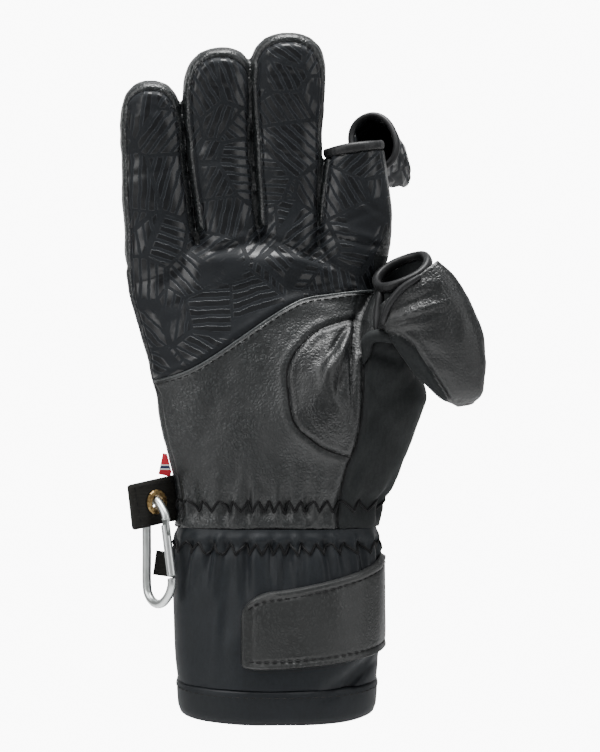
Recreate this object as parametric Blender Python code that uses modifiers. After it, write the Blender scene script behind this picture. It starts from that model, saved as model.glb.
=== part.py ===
"""A right-hand photography glove with open index and thumb tips, in metres.

The palm faces -Y and the fingers point up. The origin is the centre of the cuff's open end.
"""

import math
from collections import namedtuple

import bmesh
import bpy
from mathutils import Matrix, Vector

# Shell: walls, seams and the shape of its sections
WALL = 0.0022
SEAM_GAP = 0.0003
EDGE_WRAP = 0.0018
HAND_ROUND = 2.4
FINGER_ROUND = 2.2
HAND_SIDES = 40
CUFF_SIDES = 48
LINING_SIDES = 20
FINGER_SIDES = 16
SEAM_STEPS = 2
OVERRUN = 0.012

# Cuff and hem
CUFF_HEIGHT = 0.0780
CUFF_WIDTH = 0.0840
CUFF_DEPTH = 0.0600
CUFF_ROUND = 2.4
HEM_HEIGHT = 0.0140
HEM_RISE = 0.0080
HEM_PROUD = 0.0006
CUFF_GATHERS = 24
HAND_GATHERS = 20
GATHER_DEPTH = 0.0011

# Hand, from the wrist seam to the roots of the fingers
PALM_HEIGHT = 0.1120
PALM_WIDTH = 0.1050
PALM_DEPTH = 0.0460
KNUCKLE_ARCH = 0.0070
SEAM_LEVEL = -0.0035
SIDE_WRAP = 0.0090
CURL_RATIO = 0.070

# Fingers, from their roots inside the hand
FINGER_ROOT_SHARE = 0.84
FINGER_DEPTH = 0.0250
FINGER_CURL = 0.0090
TIP_WRAP = 0.0042
LITTLE_LENGTH = 0.0875
LITTLE_WIDTH = 0.0272
RING_LENGTH = 0.1008
RING_WIDTH = 0.0262
MIDDLE_LENGTH = 0.1068
MIDDLE_WIDTH = 0.0272
INDEX_LENGTH = 0.0580
INDEX_WIDTH = 0.0268

# Thumb tube and the bindings of both open tips
THUMB_LENGTH = 0.0610
THUMB_WIDTH = 0.0250
THUMB_DEPTH = 0.0240
THUMB_LEAN = math.radians(15.0)
THUMB_FORWARD = math.radians(9.5)
THUMB_RISE = math.radians(27.0)
THUMB_DIP = math.radians(22.0)
INDEX_RISE = math.radians(8.7)
BINDING_HEIGHT = 0.0040
BINDING_PROUD = 0.0005
BINDING_THICKNESS = 0.0032

# Caps that are folded back from the open tips
CAP_WALL = 0.0018
THUMB_CAP_LENGTH = 0.0570
THUMB_CAP_WIDTH = 0.0356
THUMB_CAP_DEPTH = 0.0200
INDEX_CAP_LENGTH = 0.0300
INDEX_CAP_WIDTH = 0.0240
INDEX_CAP_DEPTH = 0.0185
INDEX_CAP_AXIS = (0.35, 0.90, -0.26)
INDEX_CAP_UPWARD = (-0.45, 0.00, 0.89)
INDEX_CAP_ACROSS_SHARE = 0.34
INDEX_CAP_RISE_SHARE = 0.06

# Closing strap
STRAP_THICKNESS = 0.0018
STRAP_CLEARANCE = 0.0005
STRAP_HEIGHT = 0.0390
STRAP_FOOT = 0.0275
STRAP_START = math.radians(-105.0)
STRAP_END = math.radians(112.0)
STRAP_STEPS = 20
STRAP_TAPER_SHARE = 0.23
STRAP_LIFT_SHARE = 0.15
STRAP_TAPER_RATE = 2.2

# Side tab, eyelet, label and pull tab
TAB_LENGTH = 0.0240
TAB_HEIGHT = 0.0187
TAB_THICKNESS = 0.0026
TAB_UP = 0.0885
TAB_TURN = math.radians(40.0)
TAB_DROOP = math.radians(8.0)
TAB_CORNER = 0.0012
EYELET_RADIUS = 0.0051
EYELET_HOLE = 0.0029
EYELET_FLANGE = 0.0008
EYELET_WALL = 0.0007
EYELET_PLACE = 0.0117
FIT = 0.0003
LABEL_WIDTH = 0.0050
LABEL_HEIGHT = 0.0088
LABEL_THICKNESS = 0.0012
LABEL_UP = 0.1031
PULL_WIDTH = 0.0095
PULL_HEIGHT = 0.0100
PULL_THICKNESS = 0.0014
PULL_UP = 0.0625
LABEL_LEAN = math.radians(12.0)
PULL_LEAN = math.radians(8.0)
LABEL_OUT_SHARE = 0.30
PULL_OUT_SHARE = 0.35
SIDE_SEAM_SHARE = -0.05

# Carabiner: widths run across it from the eyelet, heights down from the eyelet
WIRE_RADIUS = 0.0018
CARABINER_DROP = 0.0415
CARABINER_BACK = 0.0050
CARABINER_FRONT = 0.0117
GATE_LENGTH = 0.0192
GATE_TOP = 0.0105
GATE_TOP_ACROSS = 0.0078
GATE_SHORT = 0.0005
TONGUE_RADIUS = 0.0016
TONGUE_THICKNESS = 0.0012
PIN_RADIUS = 0.0005

HandRow = namedtuple("HandRow", "up left right front back gather arch")
HAND = (
    HandRow(0.000, 0.410, 0.386, 0.500, 0.500, 1.0, 0.0),
    HandRow(0.030, 0.404, 0.392, 0.505, 0.505, 1.0, 0.0),
    HandRow(0.065, 0.398, 0.394, 0.490, 0.490, 1.0, 0.0),
    HandRow(0.100, 0.402, 0.396, 0.500, 0.495, 0.9, 0.0),
    HandRow(0.140, 0.408, 0.436, 0.510, 0.500, 0.6, 0.0),
    HandRow(0.190, 0.418, 0.463, 0.525, 0.500, 0.3, 0.0),
    HandRow(0.250, 0.434, 0.488, 0.540, 0.495, 0.1, 0.0),
    HandRow(0.330, 0.456, 0.522, 0.550, 0.480, 0.0, 0.0),
    HandRow(0.410, 0.473, 0.552, 0.550, 0.460, 0.0, 0.0),
    HandRow(0.480, 0.481, 0.572, 0.540, 0.440, 0.0, 0.0),
    HandRow(0.550, 0.500, 0.548, 0.515, 0.420, 0.0, 0.0),
    HandRow(0.620, 0.518, 0.505, 0.480, 0.400, 0.0, 0.0),
    HandRow(0.690, 0.540, 0.452, 0.440, 0.380, 0.0, 0.0),
    HandRow(0.760, 0.562, 0.404, 0.400, 0.365, 0.0, 0.0),
    HandRow(0.830, 0.585, 0.390, 0.365, 0.350, 0.0, 0.1),
    HandRow(0.890, 0.595, 0.390, 0.335, 0.335, 0.0, 0.3),
    HandRow(0.940, 0.598, 0.388, 0.305, 0.310, 0.0, 0.6),
    HandRow(0.975, 0.560, 0.350, 0.200, 0.210, 0.0, 0.9),
)

CuffRow = namedtuple("CuffRow", "up width depth gather")
CUFF = (
    CuffRow(0.000, 0.950, 1.000, 0.0),
    CuffRow(0.090, 0.962, 1.010, 0.0),
    CuffRow(0.180, 0.970, 1.010, 0.0),
    CuffRow(0.300, 0.990, 1.000, 0.0),
    CuffRow(0.450, 1.005, 0.985, 0.0),
    CuffRow(0.600, 1.010, 0.960, 0.0),
    CuffRow(0.750, 1.008, 0.920, 0.0),
    CuffRow(0.850, 1.000, 0.880, 0.2),
    CuffRow(0.890, 0.992, 0.845, 1.0),
    CuffRow(0.920, 0.984, 0.820, 1.0),
    CuffRow(0.955, 0.990, 0.830, 1.0),
    CuffRow(0.985, 0.975, 0.800, 1.0),
    CuffRow(1.000, 0.968, 0.790, 0.6),
)

Finger = namedtuple("Finger", "name length width taper root knuckle joint tip closed")
FINGERS = (
    Finger("little", LITTLE_LENGTH, LITTLE_WIDTH, -0.32, -0.433, -0.467, -0.493, -0.499, True),
    Finger("ring", RING_LENGTH, RING_WIDTH, 0.16, -0.176, -0.204, -0.238, -0.225, True),
    Finger("middle", MIDDLE_LENGTH, MIDDLE_WIDTH, 0.33, 0.043, 0.035, 0.030, 0.031, True),
    Finger("index", INDEX_LENGTH, INDEX_WIDTH, -0.12, 0.271, 0.283, 0.289, 0.290, False),
)

FingerRow = namedtuple("FingerRow", "along width depth")
FINGER_PROFILE = (
    FingerRow(0.00, 0.70, 0.75),
    FingerRow(0.16, 1.00, 1.04),
    FingerRow(0.28, 0.98, 0.98),
    FingerRow(0.36, 0.97, 0.92),
    FingerRow(0.46, 0.99, 0.99),
    FingerRow(0.57, 0.98, 0.96),
    FingerRow(0.64, 0.97, 0.91),
    FingerRow(0.73, 1.00, 0.98),
    FingerRow(0.84, 1.00, 0.99),
    FingerRow(0.90, 0.94, 0.94),
    FingerRow(0.945, 0.81, 0.82),
    FingerRow(0.980, 0.57, 0.60),
)
STUB_PROFILE = (
    FingerRow(0.00, 0.62, 0.70),
    FingerRow(0.25, 0.98, 1.02),
    FingerRow(0.50, 1.05, 0.98),
    FingerRow(0.75, 0.99, 0.97),
    FingerRow(1.00, 0.90, 0.96),
)

ThumbRow = namedtuple("ThumbRow", "along width depth tilt")
THUMB_ROOT = (0.329, -0.110, 0.395)
THUMB = (
    ThumbRow(0.00, 1.50, 1.50, 0.0),
    ThumbRow(0.25, 1.27, 1.28, 0.0),
    ThumbRow(0.50, 1.13, 1.14, 0.2),
    ThumbRow(0.75, 1.03, 1.04, 0.6),
    ThumbRow(1.00, 1.00, 1.00, 1.0),
)

# Folds and dents of the palm side: a negative depth is a ridge or a bulge
Fold = namedtuple("Fold", "name across up turn length width depth")
FOLDS = (
    Fold("knuckle_crease", 0.090, 1.005, -24.0, 0.32, 0.034, 0.055),
    Fold("ring_ridge", -0.210, 1.000, 18.0, 0.20, 0.040, -0.030),
    Fold("little_hollow", -0.415, 0.920, 19.0, 0.14, 0.050, 0.045),
    Fold("finger_base_bulge", -0.050, 0.960, 5.0, 0.42, 0.070, -0.035),
    Fold("patch_hollow", 0.117, 0.870, 0.0, 0.20, 0.055, 0.060),
    Fold("palm_hollow", -0.190, 0.420, 60.0, 0.50, 0.200, 0.045),
    Fold("thumb_ball", 0.180, 0.490, 78.0, 0.42, 0.150, -0.110),
    Fold("thumb_crease", 0.150, 0.650, 80.0, 0.12, 0.030, 0.035),
    Fold("side_fold", 0.430, 0.330, -52.0, 0.22, 0.045, 0.040),
)
CUFF_FOLDS = (
    Fold("hem_fold", 0.300, 0.225, 38.0, 0.26, 0.040, 0.030),
    Fold("hem_fold_low", 0.390, 0.260, 48.0, 0.18, 0.030, 0.024),
    Fold("front_fold", -0.220, 0.640, 82.0, 0.36, 0.055, 0.022),
    Fold("left_fold", -0.420, 0.420, 74.0, 0.44, 0.050, 0.020),
    Fold("middle_fold", 0.020, 0.800, 96.0, 0.20, 0.050, 0.018),
)

# Seams between the panels of the palm side, as shares of the hand's width and height
SeamPoint = namedtuple("SeamPoint", "across up")
PATCH_TOP = (
    SeamPoint(-0.492, 0.534),
    SeamPoint(-0.359, 0.571),
    SeamPoint(-0.238, 0.636),
    SeamPoint(-0.102, 0.724),
    SeamPoint(0.011, 0.794),
    SeamPoint(0.098, 0.834),
    SeamPoint(0.195, 0.848),
    SeamPoint(0.276, 0.852),
)
THUMB_SEAM = (
    SeamPoint(0.285, 0.757),
    SeamPoint(0.152, 0.721),
    SeamPoint(0.070, 0.654),
    SeamPoint(0.031, 0.581),
    SeamPoint(0.031, 0.494),
    SeamPoint(0.054, 0.388),
    SeamPoint(0.125, 0.321),
    SeamPoint(0.188, 0.285),
    SeamPoint(0.273, 0.259),
)
SIDE_SEAM_LOW = (
    SeamPoint(0.223, -0.080),
    SeamPoint(0.223, 0.000),
    SeamPoint(0.227, 0.091),
    SeamPoint(0.254, 0.215),
    SeamPoint(0.273, 0.259),
)
SIDE_SEAM_HIGH = (
    SeamPoint(0.273, 0.259),
    SeamPoint(0.300, 0.329),
    SeamPoint(0.320, 0.453),
    SeamPoint(0.320, 0.581),
    SeamPoint(0.308, 0.670),
    SeamPoint(0.285, 0.757),
)
GUSSET_SEAM = (
    SeamPoint(0.285, 0.757),
    SeamPoint(0.276, 0.852),
)
THUMB_TOP_SHARE = 0.985
THUMB_INNER_SHARE = 0.312
SIDE_OUTER_SHARE = 0.900

CapRow = namedtuple("CapRow", "across up width depth forward tilt")
THUMB_CAP = (
    CapRow(0.048, -0.045, 0.775, 0.560, -0.800, 38.0),
    CapRow(0.146, -0.167, 0.927, 0.720, -0.780, 34.0),
    CapRow(0.272, -0.307, 1.000, 0.880, -0.720, 28.0),
    CapRow(0.427, -0.491, 0.944, 1.000, -0.600, 22.0),
    CapRow(0.540, -0.658, 0.787, 0.950, -0.500, 18.0),
    CapRow(0.638, -0.807, 0.550, 0.800, -0.420, 14.0),
    CapRow(0.688, -0.903, 0.310, 0.500, -0.380, 10.0),
)
IndexCapRow = namedtuple("IndexCapRow", "along right width depth drop")
INDEX_CAP = (
    IndexCapRow(0.00, 0.00, 1.00, 1.00, 0.00),
    IndexCapRow(0.22, 0.10, 1.03, 1.06, -0.02),
    IndexCapRow(0.50, 0.22, 0.98, 1.00, 0.04),
    IndexCapRow(0.75, 0.30, 0.82, 0.84, 0.12),
    IndexCapRow(0.92, 0.34, 0.52, 0.55, 0.20),
)

# The carabiner's bend, from the gate's hinge over the eyelet, down the back and up to the nose
WirePoint = namedtuple("WirePoint", "across down")
CARABINER = (
    WirePoint(0.615, 0.118),
    WirePoint(0.376, 0.039),
    WirePoint(0.171, -0.007),
    WirePoint(0.000, -0.014),
    WirePoint(-0.400, -0.007),
    WirePoint(-0.840, 0.058),
    WirePoint(-1.000, 0.193),
    WirePoint(-1.000, 0.500),
    WirePoint(-1.000, 0.819),
    WirePoint(-0.680, 0.933),
    WirePoint(0.043, 0.995),
    WirePoint(0.444, 0.986),
    WirePoint(0.812, 0.904),
    WirePoint(0.991, 0.807),
)


def clear_scene():
    for item in list(bpy.data.objects):
        bpy.data.objects.remove(item, do_unlink=True)


def collection(name):
    made = bpy.data.collections.new(name)
    bpy.context.scene.collection.children.link(made)
    return made


def material(name, colour, roughness, metallic=0.0):
    made = bpy.data.materials.new(name)
    made.use_nodes = True
    shader = made.node_tree.nodes["Principled BSDF"]
    shader.inputs["Base Color"].default_value = (*colour, 1.0)
    shader.inputs["Roughness"].default_value = roughness
    shader.inputs["Metallic"].default_value = metallic
    return made


def rounded(angle, power):
    """The unit point at this angle on a rounded square section."""
    share = 2.0 / power
    cosine, sine = math.cos(angle), math.sin(angle)
    across = math.copysign(abs(cosine) ** share, cosine)
    along = math.copysign(abs(sine) ** share, sine)
    return across, along


def ring(centre, half_width, half_depth, sides, power, turn=None):
    """One section: its points run counter-clockwise seen from above."""
    turn = turn or Matrix.Identity(3)
    points = []
    for step in range(sides):
        across, along = rounded(math.tau * step / sides, power)
        points.append(Vector(centre) + turn @ Vector((half_width * across, half_depth * along, 0.0)))
    return points


def lofted(name, rings, group):
    """A closed solid through sections that follow each other upwards."""
    mesh = bmesh.new()
    rows = [[mesh.verts.new(point) for point in points] for points in rings]
    for low, high in zip(rows, rows[1:]):
        for here, after in zip(range(len(low)), [*range(1, len(low)), 0]):
            mesh.faces.new((low[here], low[after], high[after], high[here]))
    mesh.faces.new(reversed(rows[0]))
    mesh.faces.new(rows[-1])
    return finished(name, mesh, group)


def finished(name, mesh, group):
    bmesh.ops.recalc_face_normals(mesh, faces=mesh.faces)
    data = bpy.data.meshes.new(name)
    mesh.to_mesh(data)
    mesh.free()
    made = bpy.data.objects.new(name, data)
    group.objects.link(made)
    return made


def guide(item):
    item.hide_render = True
    item.display_type = "WIRE"
    return item


def boolean(item, other, operation, solver="EXACT"):
    modifier = item.modifiers.new(f"{operation.lower()} {other.name}", "BOOLEAN")
    modifier.operation = operation
    modifier.solver = solver
    modifier.object = other
    return item


def evaluated_mesh(item, name):
    graph = bpy.context.evaluated_depsgraph_get()
    graph.update()
    return bpy.data.meshes.new_from_object(item.evaluated_get(graph), depsgraph=graph)


def dressed(item, finish, angle=40.0):
    item.data.materials.clear()
    item.data.materials.append(finish)
    item.data.shade_smooth()
    item.data.set_sharp_from_angle(angle=math.radians(angle))
    return item


def relief(point, folds, width, depth, floor, height):
    """How far the palm side's folds move this point backwards."""
    moved = 0.0
    for fold in folds:
        turn = math.radians(fold.turn)
        away_x = point.x - fold.across * width
        away_z = point.z - floor - fold.up * height
        along = away_x * math.cos(turn) + away_z * math.sin(turn)
        beside = away_z * math.cos(turn) - away_x * math.sin(turn)
        reach = (2.0 * along / (fold.length * width)) ** 4 + (beside / (fold.width * width)) ** 2
        moved += fold.depth * depth * math.exp(-min(reach, 50.0))
    return moved


def hand_z(up):
    return CUFF_HEIGHT + up * PALM_HEIGHT


def interpolated(rows, up):
    """The row at this height, each of its values between its neighbours'."""
    for low, high in zip(rows, rows[1:]):
        if up <= high.up:
            break
    share = (up - low.up) / (high.up - low.up)
    return type(low)(*(a + (b - a) * share for a, b in zip(low, high)))


def gathered(points, centre, amount, count):
    """Sewn-in gathers: the section's points move in and out by turns."""
    for step, point in enumerate(points):
        wave = math.cos(math.tau * count * step / len(points))
        outward = (point - centre).normalized()
        point += outward * amount * GATHER_DEPTH * wave
    return points


def hand_ring(row, inset, sides, lift=0.0):
    left, right = row.left * PALM_WIDTH, row.right * PALM_WIDTH
    front, back = row.front * PALM_DEPTH, row.back * PALM_DEPTH
    centre = Vector(((right - left) / 2.0, (back - front) / 2.0, hand_z(row.up) + lift))
    half_width = (left + right) / 2.0 - inset
    half_depth = (front + back) / 2.0 - inset
    points = ring(centre, half_width, half_depth, sides, HAND_ROUND)
    if sides == HAND_SIDES:
        gathered(points, centre, row.gather, HAND_GATHERS)
    for point in points:
        share = (point.x - centre.x) / half_width
        point.z += row.arch * KNUCKLE_ARCH * (1.0 - share * share)
        if point.y < centre.y:
            point.y += relief(point, FOLDS, PALM_WIDTH, PALM_DEPTH, CUFF_HEIGHT, PALM_HEIGHT)
    return points


def hand_rings(inset=0.0, sides=HAND_SIDES):
    return [hand_ring(row, inset, sides) for row in HAND]


def hand_left(up):
    return -interpolated(HAND, up).left * PALM_WIDTH


def finger_x(finger, along):
    """The finger's centre line: a smooth curve through its four places."""
    places = (finger.root, finger.knuckle, finger.joint, finger.tip)
    levels = (0.0, 0.3, 0.65, 1.0)
    total = 0.0
    for index, (place, level) in enumerate(zip(places, levels)):
        weight = 1.0
        for other, rival in enumerate(levels):
            if other != index:
                weight *= (along - rival) / (level - rival)
        total += place * weight
    return total * PALM_WIDTH


def finger_centre(finger, along):
    return Vector((
        finger_x(finger, along),
        -FINGER_CURL * (along * finger.length / MIDDLE_LENGTH) ** 2,
        hand_z(FINGER_ROOT_SHARE) + along * finger.length,
    ))


def finger_half_width(finger, row):
    return finger.width * row.width * (1.0 + finger.taper * (row.along - 0.5)) / 2.0


def tilted(rise, dip):
    """A section's turn: its right side rises and its front dips."""
    return Matrix.Rotation(-rise, 3, "Y") @ Matrix.Rotation(dip, 3, "X")


def finger_rings(finger, inset=0.0):
    rings = []
    profile = FINGER_PROFILE if finger.closed else STUB_PROFILE
    for row in profile[::2] if inset and finger.closed else profile:
        centre = finger_centre(finger, row.along)
        if finger.closed:
            centre.z -= inset * row.along
        rise = 0.0 if finger.closed else INDEX_RISE * row.along
        half_depth = FINGER_DEPTH * row.depth / 2.0 - inset
        rings.append(
            ring(centre, finger_half_width(finger, row) - inset, half_depth, FINGER_SIDES,
                 FINGER_ROUND, tilted(rise, 0.0))
        )
    if finger.closed:
        tip = finger_centre(finger, 1.0) - Vector((0.0, 0.0, inset))
        crown = FINGER_PROFILE[-2] if inset else FINGER_PROFILE[-1]
        half_width = finger_half_width(finger, crown) - inset
        rings.append(ring(tip, half_width * 0.35, half_width * 0.30, FINGER_SIDES, 2.0))
    elif inset:
        rings.append([point + Vector((0.0, 0.0, OVERRUN)) for point in rings[-1]])
    return rings


def thumb_centre(along):
    across, forward, up = THUMB_ROOT
    root = Vector((across * PALM_WIDTH, forward * PALM_DEPTH, hand_z(up)))
    run = along * THUMB_LENGTH
    return root + Vector((
        run * math.sin(THUMB_LEAN),
        -run * math.sin(THUMB_FORWARD),
        run * math.cos(THUMB_LEAN) * math.cos(THUMB_FORWARD),
    ))


def thumb_ring(row, inset, shift=0.0):
    turn = tilted(THUMB_RISE * row.tilt, THUMB_DIP * row.tilt)
    centre = thumb_centre(row.along) + turn @ Vector((0.0, 0.0, shift))
    half_width = THUMB_WIDTH * row.width / 2.0 - inset
    half_depth = THUMB_DEPTH * row.depth / 2.0 - inset
    return ring(centre, half_width, half_depth, FINGER_SIDES, FINGER_ROUND, turn)


def thumb_rings(inset=0.0):
    rings = [thumb_ring(row, inset) for row in THUMB]
    if inset > 0.0:
        rings.append(thumb_ring(THUMB[-1], inset, OVERRUN))
    return rings


def cuff_ring(up, grow=0.0, sides=CUFF_SIDES):
    """The cuff's outer section at this share of its height."""
    row = interpolated(CUFF, up)
    centre = Vector((CUFF_OFFSET, 0.0, up * CUFF_HEIGHT))
    half_width = CUFF_WIDTH * row.width / 2.0 + grow
    half_depth = CUFF_DEPTH * row.depth / 2.0 + grow
    points = ring(centre, half_width, half_depth, sides, CUFF_ROUND)
    if sides == CUFF_SIDES:
        gathered(points, centre, row.gather, CUFF_GATHERS)
    for point in points:
        if point.y < 0.0:
            point.y += relief(point, CUFF_FOLDS, CUFF_WIDTH, CUFF_DEPTH, 0.0, CUFF_HEIGHT)
        shear = HEM_RISE * (point.y / CUFF_DEPTH + 0.5)
        point.z += shear * max(0.0, 1.0 - up / 0.5)
    return points


CUFF_OFFSET = (HAND[0].right - HAND[0].left) / 2.0 * PALM_WIDTH


def smooth(points, steps=SEAM_STEPS):
    """A curve through the points, with this many steps between neighbours."""
    curve = []
    for index in range(len(points) - 1):
        before = points[max(index - 1, 0)]
        start, end = points[index], points[index + 1]
        after = points[min(index + 2, len(points) - 1)]
        for step in range(steps):
            share = step / steps
            square, cube = share * share, share ** 3
            curve.append(tuple(
                0.5 * (2 * b + (c - a) * share + (2 * a - 5 * b + 4 * c - d) * square
                       + (3 * b - a - 3 * c + d) * cube)
                for a, b, c, d in zip(before, start, end, after)
            ))
    return [*curve, tuple(points[-1])]


def seam(points):
    """A seam's curve in the X, Z plane."""
    return [(across * PALM_WIDTH, hand_z(up)) for across, up in smooth(points)]


def widened(outline, amount):
    """The counter-clockwise outline, moved outwards everywhere by this amount."""
    moved = []
    count = len(outline)
    for index, point in enumerate(outline):
        here = Vector(point)
        back = (here - Vector(outline[index - 1])).normalized()
        ahead = (Vector(outline[(index + 1) % count]) - here).normalized()
        outward = Vector((back.y + ahead.y, -back.x - ahead.x))
        if outward.length < 1e-6:
            outward = Vector((back.y, -back.x))
        outward.normalize()
        spread = max(0.5, outward.dot(Vector((back.y, -back.x))))
        moved.append(here + outward * amount / spread)
    return moved


def prism(name, outline, level, slope, group, amount):
    """The outline's column, from well in front of the palm to this level, which leans forward with height."""
    mesh = bmesh.new()
    front = -3.0 * PALM_DEPTH
    base = mesh.faces.new([mesh.verts.new((x, front, z)) for x, z in widened(outline, amount)])
    grown = bmesh.ops.extrude_face_region(mesh, geom=[base])
    verts = [item for item in grown["geom"] if isinstance(item, bmesh.types.BMVert)]
    for vert in verts:
        vert.co.y = level + amount - slope * (vert.co.z - hand_z(FINGER_ROOT_SHARE))
    return guide(finished(name, mesh, group))


def without_repeats(outline):
    kept = []
    for point in outline:
        if not kept or (Vector(point) - Vector(kept[-1])).length > 1e-4:
            kept.append(tuple(point))
    return kept[:-1] if (Vector(kept[0]) - Vector(kept[-1])).length < 1e-4 else kept


def finger_edge(finger, row, side):
    half = finger_half_width(finger, row) - EDGE_WRAP
    centre = finger_centre(finger, row.along)
    return (centre.x + side * half, centre.z)


def finger_front_outline():
    """Round the fingers' fronts from right to left, then along the palm patch."""
    outline = []
    crotch = hand_z(1.0)
    for finger in reversed(FINGERS):
        profile = FINGER_PROFILE if finger.closed else STUB_PROFILE
        rows = [row for row in profile if finger_centre(finger, row.along).z > crotch]
        if finger.closed:
            shrink = 1.0 - TIP_WRAP / finger.length
            rows = [row for row in rows if row.along < 0.93]
            right = [finger_edge(finger, row._replace(along=row.along * shrink), 1.0) for row in rows]
            left = [finger_edge(finger, row._replace(along=row.along * shrink), -1.0) for row in rows]
            top = finger_centre(finger, 1.0).z - TIP_WRAP
            middle = finger_x(finger, 1.0)
            half = (right[-1][0] - left[-1][0]) / 2.0
            arc = [(middle + 0.64 * half, top - 0.32 * half), (middle, top),
                   (middle - 0.64 * half, top - 0.32 * half)]
        else:
            right = [finger_edge(finger, row, 1.0) for row in rows]
            left = [finger_edge(finger, row, -1.0) for row in rows]
            arc = [(right[-1][0], right[-1][1] + OVERRUN), (left[-1][0], left[-1][1] + OVERRUN)]
        outline += [*right, *arc, *reversed(left)]
    left_edge = [(hand_left(up) + EDGE_WRAP, hand_z(up)) for up in (0.94, 0.83, 0.76, 0.69, 0.62)]
    right_x = interpolated(HAND, 0.975).right * PALM_WIDTH - EDGE_WRAP
    shoulder = [(THUMB_INNER_SHARE * PALM_WIDTH, hand_z(PATCH_TOP[-1].up + 0.02)),
                (THUMB_INNER_SHARE * PALM_WIDTH, hand_z(THUMB_TOP_SHARE)), (right_x, hand_z(THUMB_TOP_SHARE))]
    return without_repeats([*outline, *left_edge, *seam(PATCH_TOP), *shoulder])


def palm_outline():
    edge = [(hand_left(row.up) + EDGE_WRAP, hand_z(row.up)) for row in HAND if row.up < 0.5]
    low = (edge[0][0], hand_z(SIDE_SEAM_LOW[0].up))
    return without_repeats([
        low, *seam(SIDE_SEAM_LOW), *reversed(seam(THUMB_SEAM)), *seam(GUSSET_SEAM),
        *reversed(seam(PATCH_TOP)), *reversed(edge),
    ])


def thumb_outline():
    return without_repeats([*seam(SIDE_SEAM_HIGH), *seam(THUMB_SEAM)])


def side_outline():
    top, outer = hand_z(THUMB_TOP_SHARE), SIDE_OUTER_SHARE * PALM_WIDTH
    low = hand_z(SIDE_SEAM_LOW[0].up)
    return without_repeats([
        (outer, low), (outer, top), (THUMB_INNER_SHARE * PALM_WIDTH, top),
        (THUMB_INNER_SHARE * PALM_WIDTH, hand_z(PATCH_TOP[-1].up + 0.02)),
        *reversed(seam(GUSSET_SEAM)), *reversed(seam(SIDE_SEAM_HIGH)),
        *reversed(seam(SIDE_SEAM_LOW)),
    ])


def hand_shell(cutters):
    """The hollow hand, before it is divided into its panels."""
    outer = guide(lofted("hand_outer", hand_rings(), cutters))
    inner_hand = hand_rings(WALL, LINING_SIDES)[:-1:2]
    lowest = [point - Vector((0.0, 0.0, OVERRUN)) for point in inner_hand[0]]
    inner = guide(lofted("hand_inner", [lowest, *inner_hand], cutters))
    for finger in FINGERS:
        boolean(outer, guide(lofted(f"{finger.name}_outer", finger_rings(finger), cutters)), "UNION")
        hollow = guide(lofted(f"{finger.name}_inner", finger_rings(finger, WALL), cutters))
        boolean(inner, hollow, "UNION")
    boolean(outer, guide(lofted("thumb_outer", thumb_rings(), cutters)), "UNION")
    boolean(inner, guide(lofted("thumb_inner", thumb_rings(WALL), cutters)), "UNION")
    boolean(outer, inner, "DIFFERENCE")
    return evaluated_mesh(outer, "hand shell")


def hand_panels(group, cutters, finishes):
    shell = hand_shell(cutters)
    outlines = (
        ("finger_fronts", finger_front_outline(), SEAM_LEVEL, CURL_RATIO, finishes["softshell"]),
        ("palm_leather", palm_outline(), SEAM_LEVEL, 0.0, finishes["leather"]),
        ("thumb_leather", thumb_outline(), SEAM_LEVEL, 0.0, finishes["leather"]),
        ("side_softshell", side_outline(), SIDE_WRAP, 0.0, finishes["softshell"]),
    )
    back = bpy.data.objects.new("hand_back", shell.copy())
    group.objects.link(back)
    for name, outline, level, slope, finish in outlines:
        panel = bpy.data.objects.new(name, shell.copy())
        group.objects.link(panel)
        dressed(panel, finish)
        column = prism(f"{name}_column", outline, level, slope, cutters, -SEAM_GAP / 2.0)
        boolean(panel, column, "INTERSECT", "MANIFOLD")
        cut = prism(f"{name}_cut", outline, level, slope, cutters, SEAM_GAP / 2.0)
        boolean(back, cut, "DIFFERENCE", "MANIFOLD")
    dressed(back, finishes["leather"])


def tube_between(name, rings, inner_rings, group, cutters):
    """A wall between an outer and an inner loft that runs out past both its ends."""
    wall = lofted(name, rings, group)
    return boolean(wall, guide(lofted(f"{name}_hollow", inner_rings, cutters)), "DIFFERENCE")


def cuff_and_hem(group, cutters, finishes):
    hem_top = HEM_HEIGHT / CUFF_HEIGHT
    body_start = hem_top + SEAM_GAP / CUFF_HEIGHT
    levels = [body_start, *(row.up for row in CUFF if row.up > body_start + 0.02)]
    inner_levels = (-0.15, 0.0, hem_top, 0.45, 0.75, 1.0)
    inner = []
    for level in inner_levels:
        clamped = max(level, 0.0)
        points = cuff_ring(clamped, -WALL - GATHER_DEPTH * 0.5, LINING_SIDES)
        inner.append([point + Vector((0.0, 0.0, (level - clamped) * CUFF_HEIGHT)) for point in points])
    inner.append([point + Vector((0.0, 0.0, OVERRUN)) for point in inner[-1]])
    outer = [cuff_ring(level) for level in levels]
    outer[-1] = [point - Vector((0.0, 0.0, SEAM_GAP)) for point in outer[-1]]
    cuff = tube_between("cuff", outer, inner, group, cutters)
    dressed(cuff, finishes["softshell"])
    hem_rings = [cuff_ring(share * hem_top, HEM_PROUD) for share in (0.0, 0.5, 1.0)]
    hem = tube_between("cuff_hem", hem_rings, inner, group, cutters)
    dressed(hem, finishes["binding"])


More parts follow.
